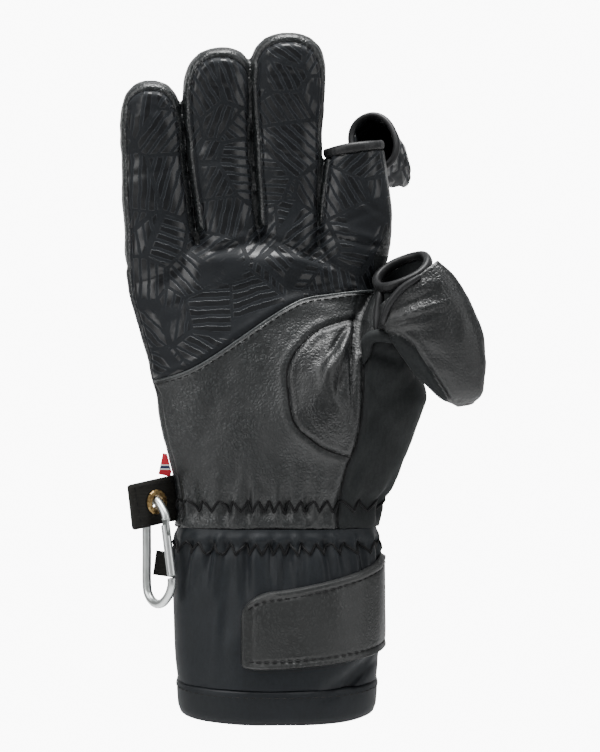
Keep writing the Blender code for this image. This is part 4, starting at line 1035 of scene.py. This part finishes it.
def tube(name, points, radius, sides=12, taper=0.0):
    mesh = bmesh.new()
    tube_along(mesh, points, radius, sides, taper)
    return object_of(name, mesh)


index_cap = crumpled(cap_shell("index_cap_shell", index_cap_rings, 0.003), INDEX_CREASES,
                     slow=0.00090, fine=0.00040, sharp=0.00100, seed=6.0)
fitted(index_cap, PRINTED_SOFTSHELL, "glove", "index_cap")

# Cuff: a wide sleeve of plain softshell, drawn in at the wrist by two lines of elastic thread,
# so that upright gathers fan out above and below them.
CUFF_WIDTH = 0.084
CUFF_DEPTH = 0.06
CUFF_ROUND = 2.4
CUFF_OFFSET = (HAND[0].right - HAND[0].left) / 2.0 * PALM_WIDTH
CUFF_SIDES = 360
CUFF_LEVELS = 110
HEM_HEIGHT = 0.014
HEM_RISE = 0.008
CUFF = table("up width depth", (
    (0, 0.95, 1), (0.09, 0.962, 1.01), (0.18, 0.97, 1.01), (0.3, 0.99, 1), (0.45, 1.005, 0.985),
    (0.6, 1.01, 0.96), (0.75, 1.008, 0.92), (0.85, 1, 0.88), (0.89, 0.992, 0.845), (0.92, 0.984, 0.82),
    (0.955, 0.99, 0.83), (0.985, 0.975, 0.8), (1, 0.968, 0.79),
))
CUFF_ROWS = dense(CUFF, 6)
CUFF_FOLDS = (
    (0.3, 0.225, 38, 0.26, 0.04, 0.03), (0.39, 0.26, 48, 0.18, 0.03, 0.024),
    (-0.22, 0.64, 82, 0.36, 0.055, 0.022), (-0.42, 0.42, 74, 0.44, 0.05, 0.02),
    (0.02, 0.8, 96, 0.2, 0.05, 0.018),
)
CUFF_CREASES = (
    (1, 30, 17, 38, 32, 1.6, 0.8), (1, 27, 22, 36, 26, 2.4, -0.6), (1, 34, 24, 46, 22, 1.6, 0.6),
    (1, -22, 48, 84, 44, 2.6, 0.75), (1, -29, 40, 78, 50, 3, 0.65), (1, -13, 52, 96, 34, 2.2, 0.6),
    (1, -3, 58, 100, 22, 1.8, 0.55), (1, 6, 60, 86, 20, 1.8, 0.5), (1, -34, 56, 70, 26, 2, 0.6),
    (0, -20, 40, 80, 50, 3, 0.8), (0, 5, 50, 100, 36, 2.4, 0.7), (0, -5, 20, 30, 30, 2.4, 0.6),
)


def cuff_point(angle, up, grow, folds=()):
    """The cuff's outside at this angle and share of its height, moved outwards."""
    row = interpolated(CUFF_ROWS, up)
    across, along = rounded(angle, CUFF_ROUND)
    point = Vector((
        CUFF_OFFSET + (CUFF_WIDTH * row.width / 2.0 + grow) * across,
        (CUFF_DEPTH * row.depth / 2.0 + grow) * along,
        up * CUFF_HEIGHT,
    ))
    if point.y < 0.0:
        point.y += relief(point, folds, CUFF_WIDTH, CUFF_DEPTH, 0.0, CUFF_HEIGHT)
    point.z += HEM_RISE * (point.y / CUFF_DEPTH + 0.5) * max(0.0, 1.0 - up / 0.5)
    return point


def cuff_ring(up, grow=0.0):
    turns = (math.tau * step / CUFF_SIDES for step in range(CUFF_SIDES))
    return [cuff_point(turn, up, grow, CUFF_FOLDS) for turn in turns]


hem_top = HEM_HEIGHT / CUFF_HEIGHT
levels = [hem_top + (1.0 - hem_top) * step / CUFF_LEVELS for step in range(CUFF_LEVELS + 1)]
inner = [cuff_ring(level, -WALL) for level in levels[::10]]
cuff = built("cuff_sleeve", [*(cuff_ring(level) for level in levels), *reversed(inner)], looped=True)
points, normals = surface_of(cuff)
moved = creased(points, normals, CUFF_CREASES)
moved += gathers(points, middle=CUFF_OFFSET, count=24, low=0.066, high=0.0725,
                 fade_low=0.022, fade_high=0.0055, seed=2.0)
moved += 0.00035 * wave_noise(points, 55.0, 9.0)
outward = (points[:, 0] - CUFF_OFFSET) * normals[:, 0] + points[:, 1] * normals[:, 1]
outside = (np.hypot(normals[:, 0], normals[:, 1]) > 0.3) & (outward > 0.0)
push(cuff, points, normals, moved * outside)
fitted(cuff, softshell("cuff_softshell", (0.0036, 0.0052, 0.0070), (0.0072, 0.0098, 0.0126),
                       rough=0.55, shine=0.30), "glove", "cuff")
CUFF_SKIN = skin_of(cuff)

# Hem: the cuff's lower edge, turned up and sewn down, so that it stands a little proud.
HEM_PROUD = 0.0006
HEM_STEPS = 14
outer = [cuff_ring(0.0)]
for share in (step / HEM_STEPS for step in range(1, HEM_STEPS)):
    proud = HEM_PROUD * min(1.0, share * 6.0, (1.0 - share) * 8.0 + 0.1)
    outer.append(cuff_ring(share * hem_top, proud))
outer.append(cuff_ring(hem_top - 0.003, -0.0005))
inner = [cuff_ring(share * hem_top, -WALL - HEM_PROUD) for share in (0.0, 0.3, 0.7, 1.0)]
hem = built("hem_band", [*outer, *reversed(inner)], looped=True)
points, normals = surface_of(hem)
push(hem, points, normals, 0.0003 * wave_noise(points, 60.0, 11.0))
fitted(hem, softshell("hem_softshell", (0.0036, 0.0050, 0.0066), (0.0066, 0.0088, 0.0112),
                      rough=0.58, shine=0.28), "glove", "cuff_hem")

# Closing strap: a band of leather with turned edges and a line of stitches inside them, pulled
# round the thumb side of the cuff.
STRAP_THICKNESS = 0.0018
STRAP_CLEARANCE = 0.0005
STRAP_HEIGHT = 0.039
STRAP_FOOT = 0.0275
STRAP_START = math.radians(-105.0)
STRAP_TURN = math.radians(217.0)
STRAP_RUN = STRAP_TURN * CUFF_WIDTH * 0.42
STRAP_TAPER_SHARE = 0.23
STRAP_LIFT_SHARE = 0.15
STRAP_TAPER_RATE = 2.2
STRAP_STEPS = 220
STRAP_ROWS = 44
STRAP_CORNER = 0.0085
STRAP_INSET = 0.0034
STRAP_LEATHER = leather("strap_grain", (0.0070, 0.0080, 0.0079), (0.0125, 0.0142, 0.0140), 0.46, 0.00012)


def strap_band(share):
    """The band's lower and upper edge at this share of its run, rounded at its ends."""
    narrow = max(0.0, 1.0 - share * STRAP_TAPER_RATE)
    low = STRAP_FOOT - STRAP_LIFT_SHARE * STRAP_HEIGHT * narrow
    high = low + STRAP_HEIGHT * (1.0 - STRAP_TAPER_SHARE * narrow)
    near = min(share, 1.0 - share) * STRAP_RUN
    if near < STRAP_CORNER:
        drop = STRAP_CORNER - math.sqrt(STRAP_CORNER ** 2 - (STRAP_CORNER - near) ** 2)
        low, high = low + 0.35 * drop, high - drop
    return low, high


def strap_point(share, height, grow):
    return cuff_point(STRAP_START + STRAP_TURN * share, height / CUFF_HEIGHT, grow)


rows = []
for share in (step / STRAP_STEPS for step in range(STRAP_STEPS + 1)):
    low, high = strap_band(share)
    line = []
    for part in (index / STRAP_ROWS for index in range(STRAP_ROWS + 1)):
        height = low + (high - low) * part
        edge = min(min(part, 1.0 - part) * (high - low), min(share, 1.0 - share) * STRAP_RUN)
        swell = 1.0 - math.exp(-(edge / 0.0007) ** 2 * 2.0)
        turned = 0.0005 * math.exp(-((edge - 0.0012) / 0.0011) ** 2)
        sunk = 0.00045 * math.exp(-((edge - STRAP_INSET) / 0.0005) ** 2)
        wave = 0.0005 * noise.noise(Vector((share * 14.0, height * 60.0, 3.0)))
        grow = STRAP_CLEARANCE + STRAP_THICKNESS * (0.35 + 0.65 * swell) + turned - sunk + wave
        line.append(strap_point(share, height, grow))
    line += [strap_point(share, low + (high - low) * part, STRAP_CLEARANCE * 0.5)
             for part in (1.0, 0.75, 0.5, 0.25, 0.0)]
    rows.append(line[::-1])
mesh = bmesh.new()
join_rows(mesh, rows)
bmesh.ops.triangulate(mesh, faces=[face for face in mesh.faces if len(face.verts) > 4])
fitted(object_of("closing_strap", mesh), STRAP_LEATHER, "glove", "cuff_strap")

# Stitches: black thread, drawn tight along the seams and in short dashes along the top of the
# palm patch, round the strap and along the hem.
THREAD_RADIUS = 0.00024
SEAM_THREAD_RADIUS = 0.0003
DASH = 0.0021
DASH_GAP = 0.0009
LINE_STEP = 0.0006
STITCHED_SHARES = [0.018 + 0.964 * step / 699 for step in range(700)]
STRAP_TOP = STRAP_CLEARANCE + STRAP_THICKNESS - 0.00005


def resampled(points, gap):
    """Points this far apart along the line."""
    made, carried = [points[0]], 0.0
    for start, end in zip(points, points[1:]):
        run = (end - start).length
        while carried + run >= gap:
            share = (gap - carried) / run
            start = start + (end - start) * share
            made.append(start)
            run = (end - start).length
            carried = 0.0
        carried += run
    return made


def dashes(mesh, points):
    fine = resampled(points, DASH / 4.0)
    period = round((DASH + DASH_GAP) / (DASH / 4.0))
    for start in range(0, len(fine) - 5, period):
        tube_along(mesh, fine[start:start + 5], THREAD_RADIUS)


def on_front(skin, x, z, lift):
    """The point of the surface straight behind (x, z), raised by this much."""
    hit, normal, _, _ = skin.ray_cast(Vector((x, -0.2, z)), Vector((0.0, 1.0, 0.0)))
    return None if hit is None else hit + normal * lift


def offset_line(line, amount):
    """The open line in the X, Z plane, moved to its left by this much."""
    moved = []
    for index, point in enumerate(line):
        run = Vector(line[min(index + 1, len(line) - 1)]) - Vector(line[max(index - 1, 0)])
        run.normalize()
        moved.append((point[0] - run.y * amount, point[1] + run.x * amount))
    return moved


def laid(line, lift, taper=0.0, skins=(SKIN,)):
    """The line in the X, Z plane, laid on the front of the skins; a taper sinks its ends."""
    flat = resampled([Vector((x, 0.0, z)) for x, z in line], LINE_STEP)
    run = []
    for index, point in enumerate(flat):
        raised = lift * (1.0 - taper * abs(2.0 * index / (len(flat) - 1) - 1.0) ** 3)
        found = [on_front(skin, point.x, point.z, raised) for skin in skins]
        found = [spot for spot in found if spot is not None]
        if found:
            run.append(min(found, key=lambda spot: spot.y))
    return run


def thread_material(name, tone, rough, shine, bump):
    made, tree, shader = new_material(name)
    feed(shader, dict(Base_Color=tone, Roughness=rough, Specular_IOR_Level=shine,
                      Normal=bumped(fuzz(spot_in(tree), 2500.0), *bump)))
    return made


mesh = bmesh.new()
dashes(mesh, laid(offset_line(seam(PATCH_TOP), -0.0019), 0.00012))
for line in (THUMB_SEAM[3:], SIDE_SEAM_LOW, SIDE_SEAM_HIGH[:-2]):
    tube_along(mesh, laid(seam(line), 0.00004), SEAM_THREAD_RADIUS)
for edge, inset in enumerate((STRAP_INSET, -STRAP_INSET)):
    dashes(mesh, [strap_point(share, strap_band(share)[edge] + inset, STRAP_TOP)
                  for share in STITCHED_SHARES])
low, high = strap_band(STITCHED_SHARES[0])
rise = (high - low - 2.0 * STRAP_INSET) / 40
dashes(mesh, [strap_point(STITCHED_SHARES[0], low + STRAP_INSET + rise * step, STRAP_TOP)
              for step in range(41)])
dashes(mesh, [cuff_point(math.tau * step / 900, hem_top * 0.8, HEM_PROUD + 0.0001)
              for step in range(901)])
BLACK_THREAD = thread_material("black_thread", (0.0018, 0.0019, 0.0022), 0.60, 0.25, (0.4, 0.0001))
fitted(object_of("seam_stitches", mesh), BLACK_THREAD, "glove")

# Folded edge of the palm patch: the leather is turned under along its top as a rolled line. Its leather is
# painted much lighter than the patch: a painted highlight where the folded edge catches the light.
ROLL_ROUNDS = 12
EDGE_HIGHLIGHT_LEATHER = leather("edge_grain_painted_highlight", (0.030, 0.034, 0.035), (0.048, 0.054, 0.055), 0.38, 0.00010)


def laid_roll(name, line, radius, lift, skin, taper=0.0, skins=(SKIN,)):
    """A soft roll laid on the palm side along the line, thinner towards its ends by the taper."""
    run = laid(line, lift, taper, skins)
    for _ in range(ROLL_ROUNDS):
        run[1:-1] = [(a + 2.0 * b + c) / 4.0 for a, b, c in zip(run, run[1:], run[2:])]
    fitted(tube(name, run, radius, taper=taper), skin, "glove")


laid_roll("palm_edge_fold", offset_line(seam(PATCH_TOP), -0.0005), 0.0006, -0.00005, EDGE_HIGHLIGHT_LEATHER)

# Thumb opening: its binding runs on down below the rim, and the softshell beside it curls over.
THUMB_SLIT = ((0.0412, 0.1752), (0.0405, 0.1690), (0.0398, 0.1630), (0.0394, 0.1570))
CAP_EDGE = ((0.0560, 0.1800), (0.0480, 0.1742), (0.0433, 0.1680), (0.0416, 0.1625), (0.0404, 0.1568))
THUMB_CURL = ((0.0334, 0.1445), (0.0346, 0.1503), (0.0369, 0.1544), (0.0398, 0.1560),
              (0.0435, 0.1563), (0.0476, 0.1556), (0.0502, 0.1530), (0.0520, 0.1490))
laid_roll("thumb_slit_binding", smooth(THUMB_SLIT), 0.0019, 0.0006, BINDING_CLOTH, taper=0.3)
laid_roll("thumb_cap_edge_binding", smooth(CAP_EDGE), 0.0015, 0.0004, BINDING_CLOTH, taper=0.3,
          skins=(SKIN, skin_of(cap)))
laid_roll("thumb_side_curl", smooth(THUMB_CURL), 0.0026, 0.0034, PLAIN_SOFTSHELL, taper=0.95)

# Binding round the mouth of the folded index cap: the same strip as on the open rims.
mouth = index_cap_rings(sides=BINDING_SIDES)[0]
fitted(tube("index_cap_binding", [*mouth, mouth[0]], 0.0014), BINDING_CLOTH, "glove")

# Elastic thread: one zigzag row round the wrist on each side of the seam, pulled in where the
# needle goes through.
ZIGZAG_RADIUS = 0.00055
ZIGZAG_HEIGHT = 0.0046
ZIGZAG_TURNS = 35
ZIGZAG_SINK = 0.00035


def zigzag(mesh, skin, z):
    points = []
    for turn in (step / 16.0 for step in range(ZIGZAG_TURNS * 16 + 1)):
        phase = turn % 1.0
        height = z + (1.0 - 4.0 * abs(phase - 0.5)) * ZIGZAG_HEIGHT / 2.0
        angle = math.tau * turn / ZIGZAG_TURNS
        out = Vector((math.cos(angle), math.sin(angle), 0.0))
        hit, normal, _, _ = skin.ray_cast(Vector((CUFF_OFFSET, 0.0, height)) + out * 0.12, -out)
        if hit is not None:
            points.append(hit + normal * (0.00022 - (ZIGZAG_SINK if phase in (0.0, 0.5) else 0.0)))
    tube_along(mesh, points, ZIGZAG_RADIUS)


mesh = bmesh.new()
zigzag(mesh, SKIN, 0.0873)
zigzag(mesh, CUFF_SKIN, 0.0703)
fitted(object_of("wrist_zigzag", mesh), thread_material(
    "elastic_thread", (0.0016, 0.0018, 0.0022), 0.62, 0.22, (0.5, 0.00012)), "glove")

# Side tab and pull tab: stiff dark webbing, sewn into the side seam.
TAB_STITCHES = ((-0.0430, 0.0968), (-0.0586, 0.0950), (-0.0560, 0.0790), (-0.0420, 0.0806))
webbing, tree, shader = new_material("dark_webbing")
spot = spot_in(tree)
ribs = maths("SINE", times(split(spot)["Z"], 5200.0))
feed(shader, dict(
    Base_Color=blended(fuzz(spot, 500.0), (0.0042, 0.0041, 0.0030), (0.0085, 0.0080, 0.0060)),
    Roughness=0.66, Specular_IOR_Level=0.25,
    Normal=bumped(plus(times(ribs, 0.35), fuzz(spot, 1600.0)), 0.6, 0.00015)))
for node in ("side_tab", "pull_tab"):
    clad(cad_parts[node], webbing)
tab_skin = skin_of(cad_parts["side_tab"])
mesh = bmesh.new()
for start, end in zip(TAB_STITCHES, TAB_STITCHES[1:]):
    spots = (Vector(start).lerp(Vector(end), step / 60) for step in range(61))
    line = [on_front(tab_skin, *spot, 0.0001) for spot in spots]
    dashes(mesh, [point for point in line if point is not None])
fitted(object_of("tab_stitches", mesh), BLACK_THREAD, "glove")

# Side label: red woven ribbon with a white, navy and white stripe across it.
STRIPE_HEIGHT = 0.1022
WHITE_HALF = 0.0011
NAVY_HALF = 0.0005
ribbon, tree, shader = new_material("label_ribbon")
spot = spot_in(tree)
away = maths("ABSOLUTE", maths("SUBTRACT", split(spot)["Z"], STRIPE_HEIGHT))
tone = blended(maths("LESS_THAN", away, WHITE_HALF), (0.56, 0.012, 0.03), (0.75, 0.75, 0.75))
tone = blended(maths("LESS_THAN", away, NAVY_HALF), tone, (0.010, 0.016, 0.075))
feed(shader, dict(Base_Color=tone, Roughness=0.7, Normal=bumped(fuzz(spot, 2200.0), 0.5, 0.0001)))
clad(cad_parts["side_label"], ribbon)

# Eyelet: turned and tarnished brass, pressed through the side tab.
brass, tree, shader = new_material("antique_brass")
spot = spot_in(tree)
feed(shader, dict(
    Base_Color=blended(step_up(fuzz(spot, 700.0), 0.35, 0.7), (0.16, 0.10, 0.042), (0.36, 0.25, 0.11)),
    Roughness=step_up(fuzz(spot, 1300.0), 0.3, 0.7, 0.24, 0.46), Metallic=1.0))
clad(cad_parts["eyelet"], brass)
softened(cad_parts["eyelet"], 50.0)

# Carabiner and its gate: bent aluminium rod, tumbled to a satin finish. It hangs through the
# eyelet; the gate's end is slit for the body's flat tongue and turns on a steel pin.
EYELET_CENTRE = Vector((-0.051098, -0.009821, 0.0885))
TAB_TURN = math.radians(40.0)
WIRE_RADIUS = 0.0018
WIRE_SIDES = 28
CARABINER_DROP = 0.0415
CARABINER_BACK = 0.005
CARABINER_FRONT = 0.0117
GATE_LENGTH = 0.0192
GATE_TOP = 0.0105
GATE_TOP_ACROSS = 0.0078
GATE_SHORT = 0.0005
TONGUE_RADIUS = 0.0016
TONGUE_THICKNESS = 0.0012
PIN_RADIUS = 0.0005
PIN_LENGTH = 0.0038
FIT = 0.0003
CARABINER = (
    (0.615, 0.118), (0.376, 0.039), (0.171, -0.007), (0, -0.014), (-0.4, -0.007), (-0.84, 0.058),
    (-1, 0.193), (-1, 0.5), (-1, 0.819), (-0.68, 0.933), (0.043, 0.995), (0.444, 0.986), (0.812, 0.904),
    (0.991, 0.807),
)
satin, tree, shader = new_material("satin_aluminium")
spot = spot_in(tree)
feed(shader, dict(
    Base_Color=blended(fuzz(spot, 120.0), (0.62, 0.65, 0.64), (0.72, 0.75, 0.74)),
    Roughness=step_up(fuzz(spot, 300.0), 0.3, 0.7, 0.32, 0.40), Metallic=1.0))


def beside_eyelet(across, down):
    """A point in the carabiner's plane, which passes through the eyelet's axis."""
    return EYELET_CENTRE + Vector((across * math.sin(TAB_TURN), -across * math.cos(TAB_TURN), -down))


def shaped(name, build, centre, turn, **sizes):
    """A box or drum, built round the centre and turned."""
    mesh = bmesh.new()
    build(mesh, matrix=Matrix.Translation(centre) @ turn, **sizes)
    return object_of(name, mesh)


def drum(name, radius, depth):
    """A round bar along the gate's hinge."""
    return shaped(name, bmesh.ops.create_cone, hinge, square @ Matrix.Rotation(math.pi / 2.0, 4, "Y"),
                  radius1=radius, radius2=radius, depth=depth, cap_ends=True, segments=32)


route = [(GATE_TOP_ACROSS, GATE_TOP - 2.0 * WIRE_RADIUS)]
for across, down in CARABINER:
    reach = CARABINER_FRONT if across > 0.0 else CARABINER_BACK
    route.append((across * reach, down * CARABINER_DROP))
route.append((CARABINER_FRONT, GATE_TOP + GATE_LENGTH + GATE_SHORT))
hinge = beside_eyelet(GATE_TOP_ACROSS, GATE_TOP)
square = Matrix.Rotation(TAB_TURN, 4, "Z")
carabiner = tube("bent_rod", [beside_eyelet(*point) for point in smooth(route)], WIRE_RADIUS, WIRE_SIDES)
cut_with(carabiner, drum("tongue", TONGUE_RADIUS, TONGUE_THICKNESS), "UNION")
neck = beside_eyelet(GATE_TOP_ACROSS, GATE_TOP - 1.1 * WIRE_RADIUS)
neck_size = Matrix.Diagonal((TONGUE_THICKNESS, 2.0 * TONGUE_RADIUS, 2.5 * WIRE_RADIUS, 1.0))
cut_with(carabiner, shaped("neck", bmesh.ops.create_cube, neck, square @ neck_size, size=1.0), "UNION")
fitted(carabiner, satin, "carabiner", "carabiner_body")
run = Vector((CARABINER_FRONT - GATE_TOP_ACROSS, GATE_LENGTH)).normalized()
head = Vector((GATE_TOP_ACROSS, GATE_TOP)) - run * WIRE_RADIUS
foot = Vector((CARABINER_FRONT, GATE_TOP + GATE_LENGTH))
gate = tube("slit_gate", [beside_eyelet(*head.lerp(foot, share))
                          for share in (0.0, 0.02, 0.05, 0.5, 0.95, 0.98, 1.0)], WIRE_RADIUS, WIRE_SIDES)
slit = Matrix.Rotation(math.atan2(run.x, run.y), 4, "X") @ Matrix.Diagonal(
    (TONGUE_THICKNESS + 2.0 * FIT, 4.0 * WIRE_RADIUS, 2.0 * (TONGUE_RADIUS + 2.0 * FIT), 1.0))
cut_with(gate, shaped("slit", bmesh.ops.create_cube, hinge, square @ slit, size=1.0), "DIFFERENCE")
cut_with(gate, drum("pin", PIN_RADIUS, PIN_LENGTH), "UNION")
fitted(gate, satin, "gate", "carabiner_gate")

# Studio: a pale floor that curves up into a backdrop, soft lights all round, and a long lens
# at the height of the palm. Seen from behind, the backdrop is clear.
FLOOR = -0.3
BACKDROP_HALF = 2.2
BACKDROP_BEND = 0.5
GLOW = 9.0
WHITE = (1.0, 1.0, 1.0)
AIM = Vector((0.0, 0.0, 0.14))
sweep = [(-1.2, FLOOR), (1.0, FLOOR)]
for angle in (math.pi / 2.0 * step / 12 for step in range(1, 13)):
    sweep.append((1.0 + BACKDROP_BEND * math.sin(angle), FLOOR + BACKDROP_BEND * (1.0 - math.cos(angle))))
sweep.append((1.5, 2.2))
mesh = bmesh.new()
left, right = ([mesh.verts.new((x, y, z)) for y, z in sweep] for x in (-BACKDROP_HALF, BACKDROP_HALF))
for strip in zip(left, right, right[1:], left[1:]):
    mesh.faces.new(strip)
sheet = bpy.data.meshes.new("backdrop")
mesh.to_mesh(sheet)
mesh.free()
sheet.shade_smooth()
floor = bpy.data.objects.new("backdrop", sheet)
scene.collection.objects.link(floor)
paper, tree, shader = new_material("backdrop_paper")
seen = add(tree, "LightPath").outputs["Is Camera Ray"]
feed(shader, dict(Base_Color=(0.93, 0.93, 0.93), Roughness=0.9, Emission_Color=WHITE,
                  Emission_Strength=step_up(seen, 0.0, 1.0, 0.35, GLOW)))
behind = add(tree, "NewGeometry").outputs["Backfacing"]
clear = add(tree, "BsdfTransparent").outputs[0]
either = add(tree, "MixShader", {0: behind, 1: shader.outputs[0], 2: clear}).outputs[0]
feed(tree.nodes["Material Output"], {"Surface": either})
floor.data.materials.append(paper)

world = bpy.data.worlds.new("studio")
world.use_nodes = True
seen = add(world.node_tree, "LightPath").outputs["Is Camera Ray"]
feed(world.node_tree.nodes["Background"],
     {"Color": WHITE, "Strength": step_up(seen, 0.0, 1.0, 0.20, GLOW)})
scene.world = world

for name, spot, size, power in (
    ("left_softbox", (-0.75, -0.55, 0.55), (0.5, 0.8), 6.6),
    ("right_softbox", (0.80, -0.45, 0.40), (0.4, 0.8), 2.8),
    ("top_softbox", (0.05, -0.10, 1.05), (0.6, 0.5), 25.0),
    ("front_fill", (0.0, -1.30, 0.60), (0.8, 0.6), 0.5),
):
    data = bpy.data.lights.new(name, "AREA")
    data.shape = "RECTANGLE"
    data.size, data.size_y = size
    data.energy = power
    made = bpy.data.objects.new(name, data)
    scene.collection.objects.link(made)
    made.location = spot
    made.rotation_euler = (AIM - Vector(spot)).to_track_quat("-Z", "Y").to_euler()

PHOTO_SCALE = 0.308
CAMERA_AWAY = 1.2
CAMERA_AIM = Vector((0.0082, 0.0, 0.1394))
CAMERA_RISE = math.radians(1.5)
camera_data = bpy.data.cameras.new("camera")
camera_data.lens = camera_data.sensor_width * CAMERA_AWAY / PHOTO_SCALE
camera = bpy.data.objects.new("camera", camera_data)
scene.collection.objects.link(camera)
camera.location = CAMERA_AIM + CAMERA_AWAY * Vector((0.0, -math.cos(CAMERA_RISE), math.sin(CAMERA_RISE)))
camera.rotation_euler = (CAMERA_AIM - camera.location).to_track_quat("-Z", "Y").to_euler()
scene.camera = camera
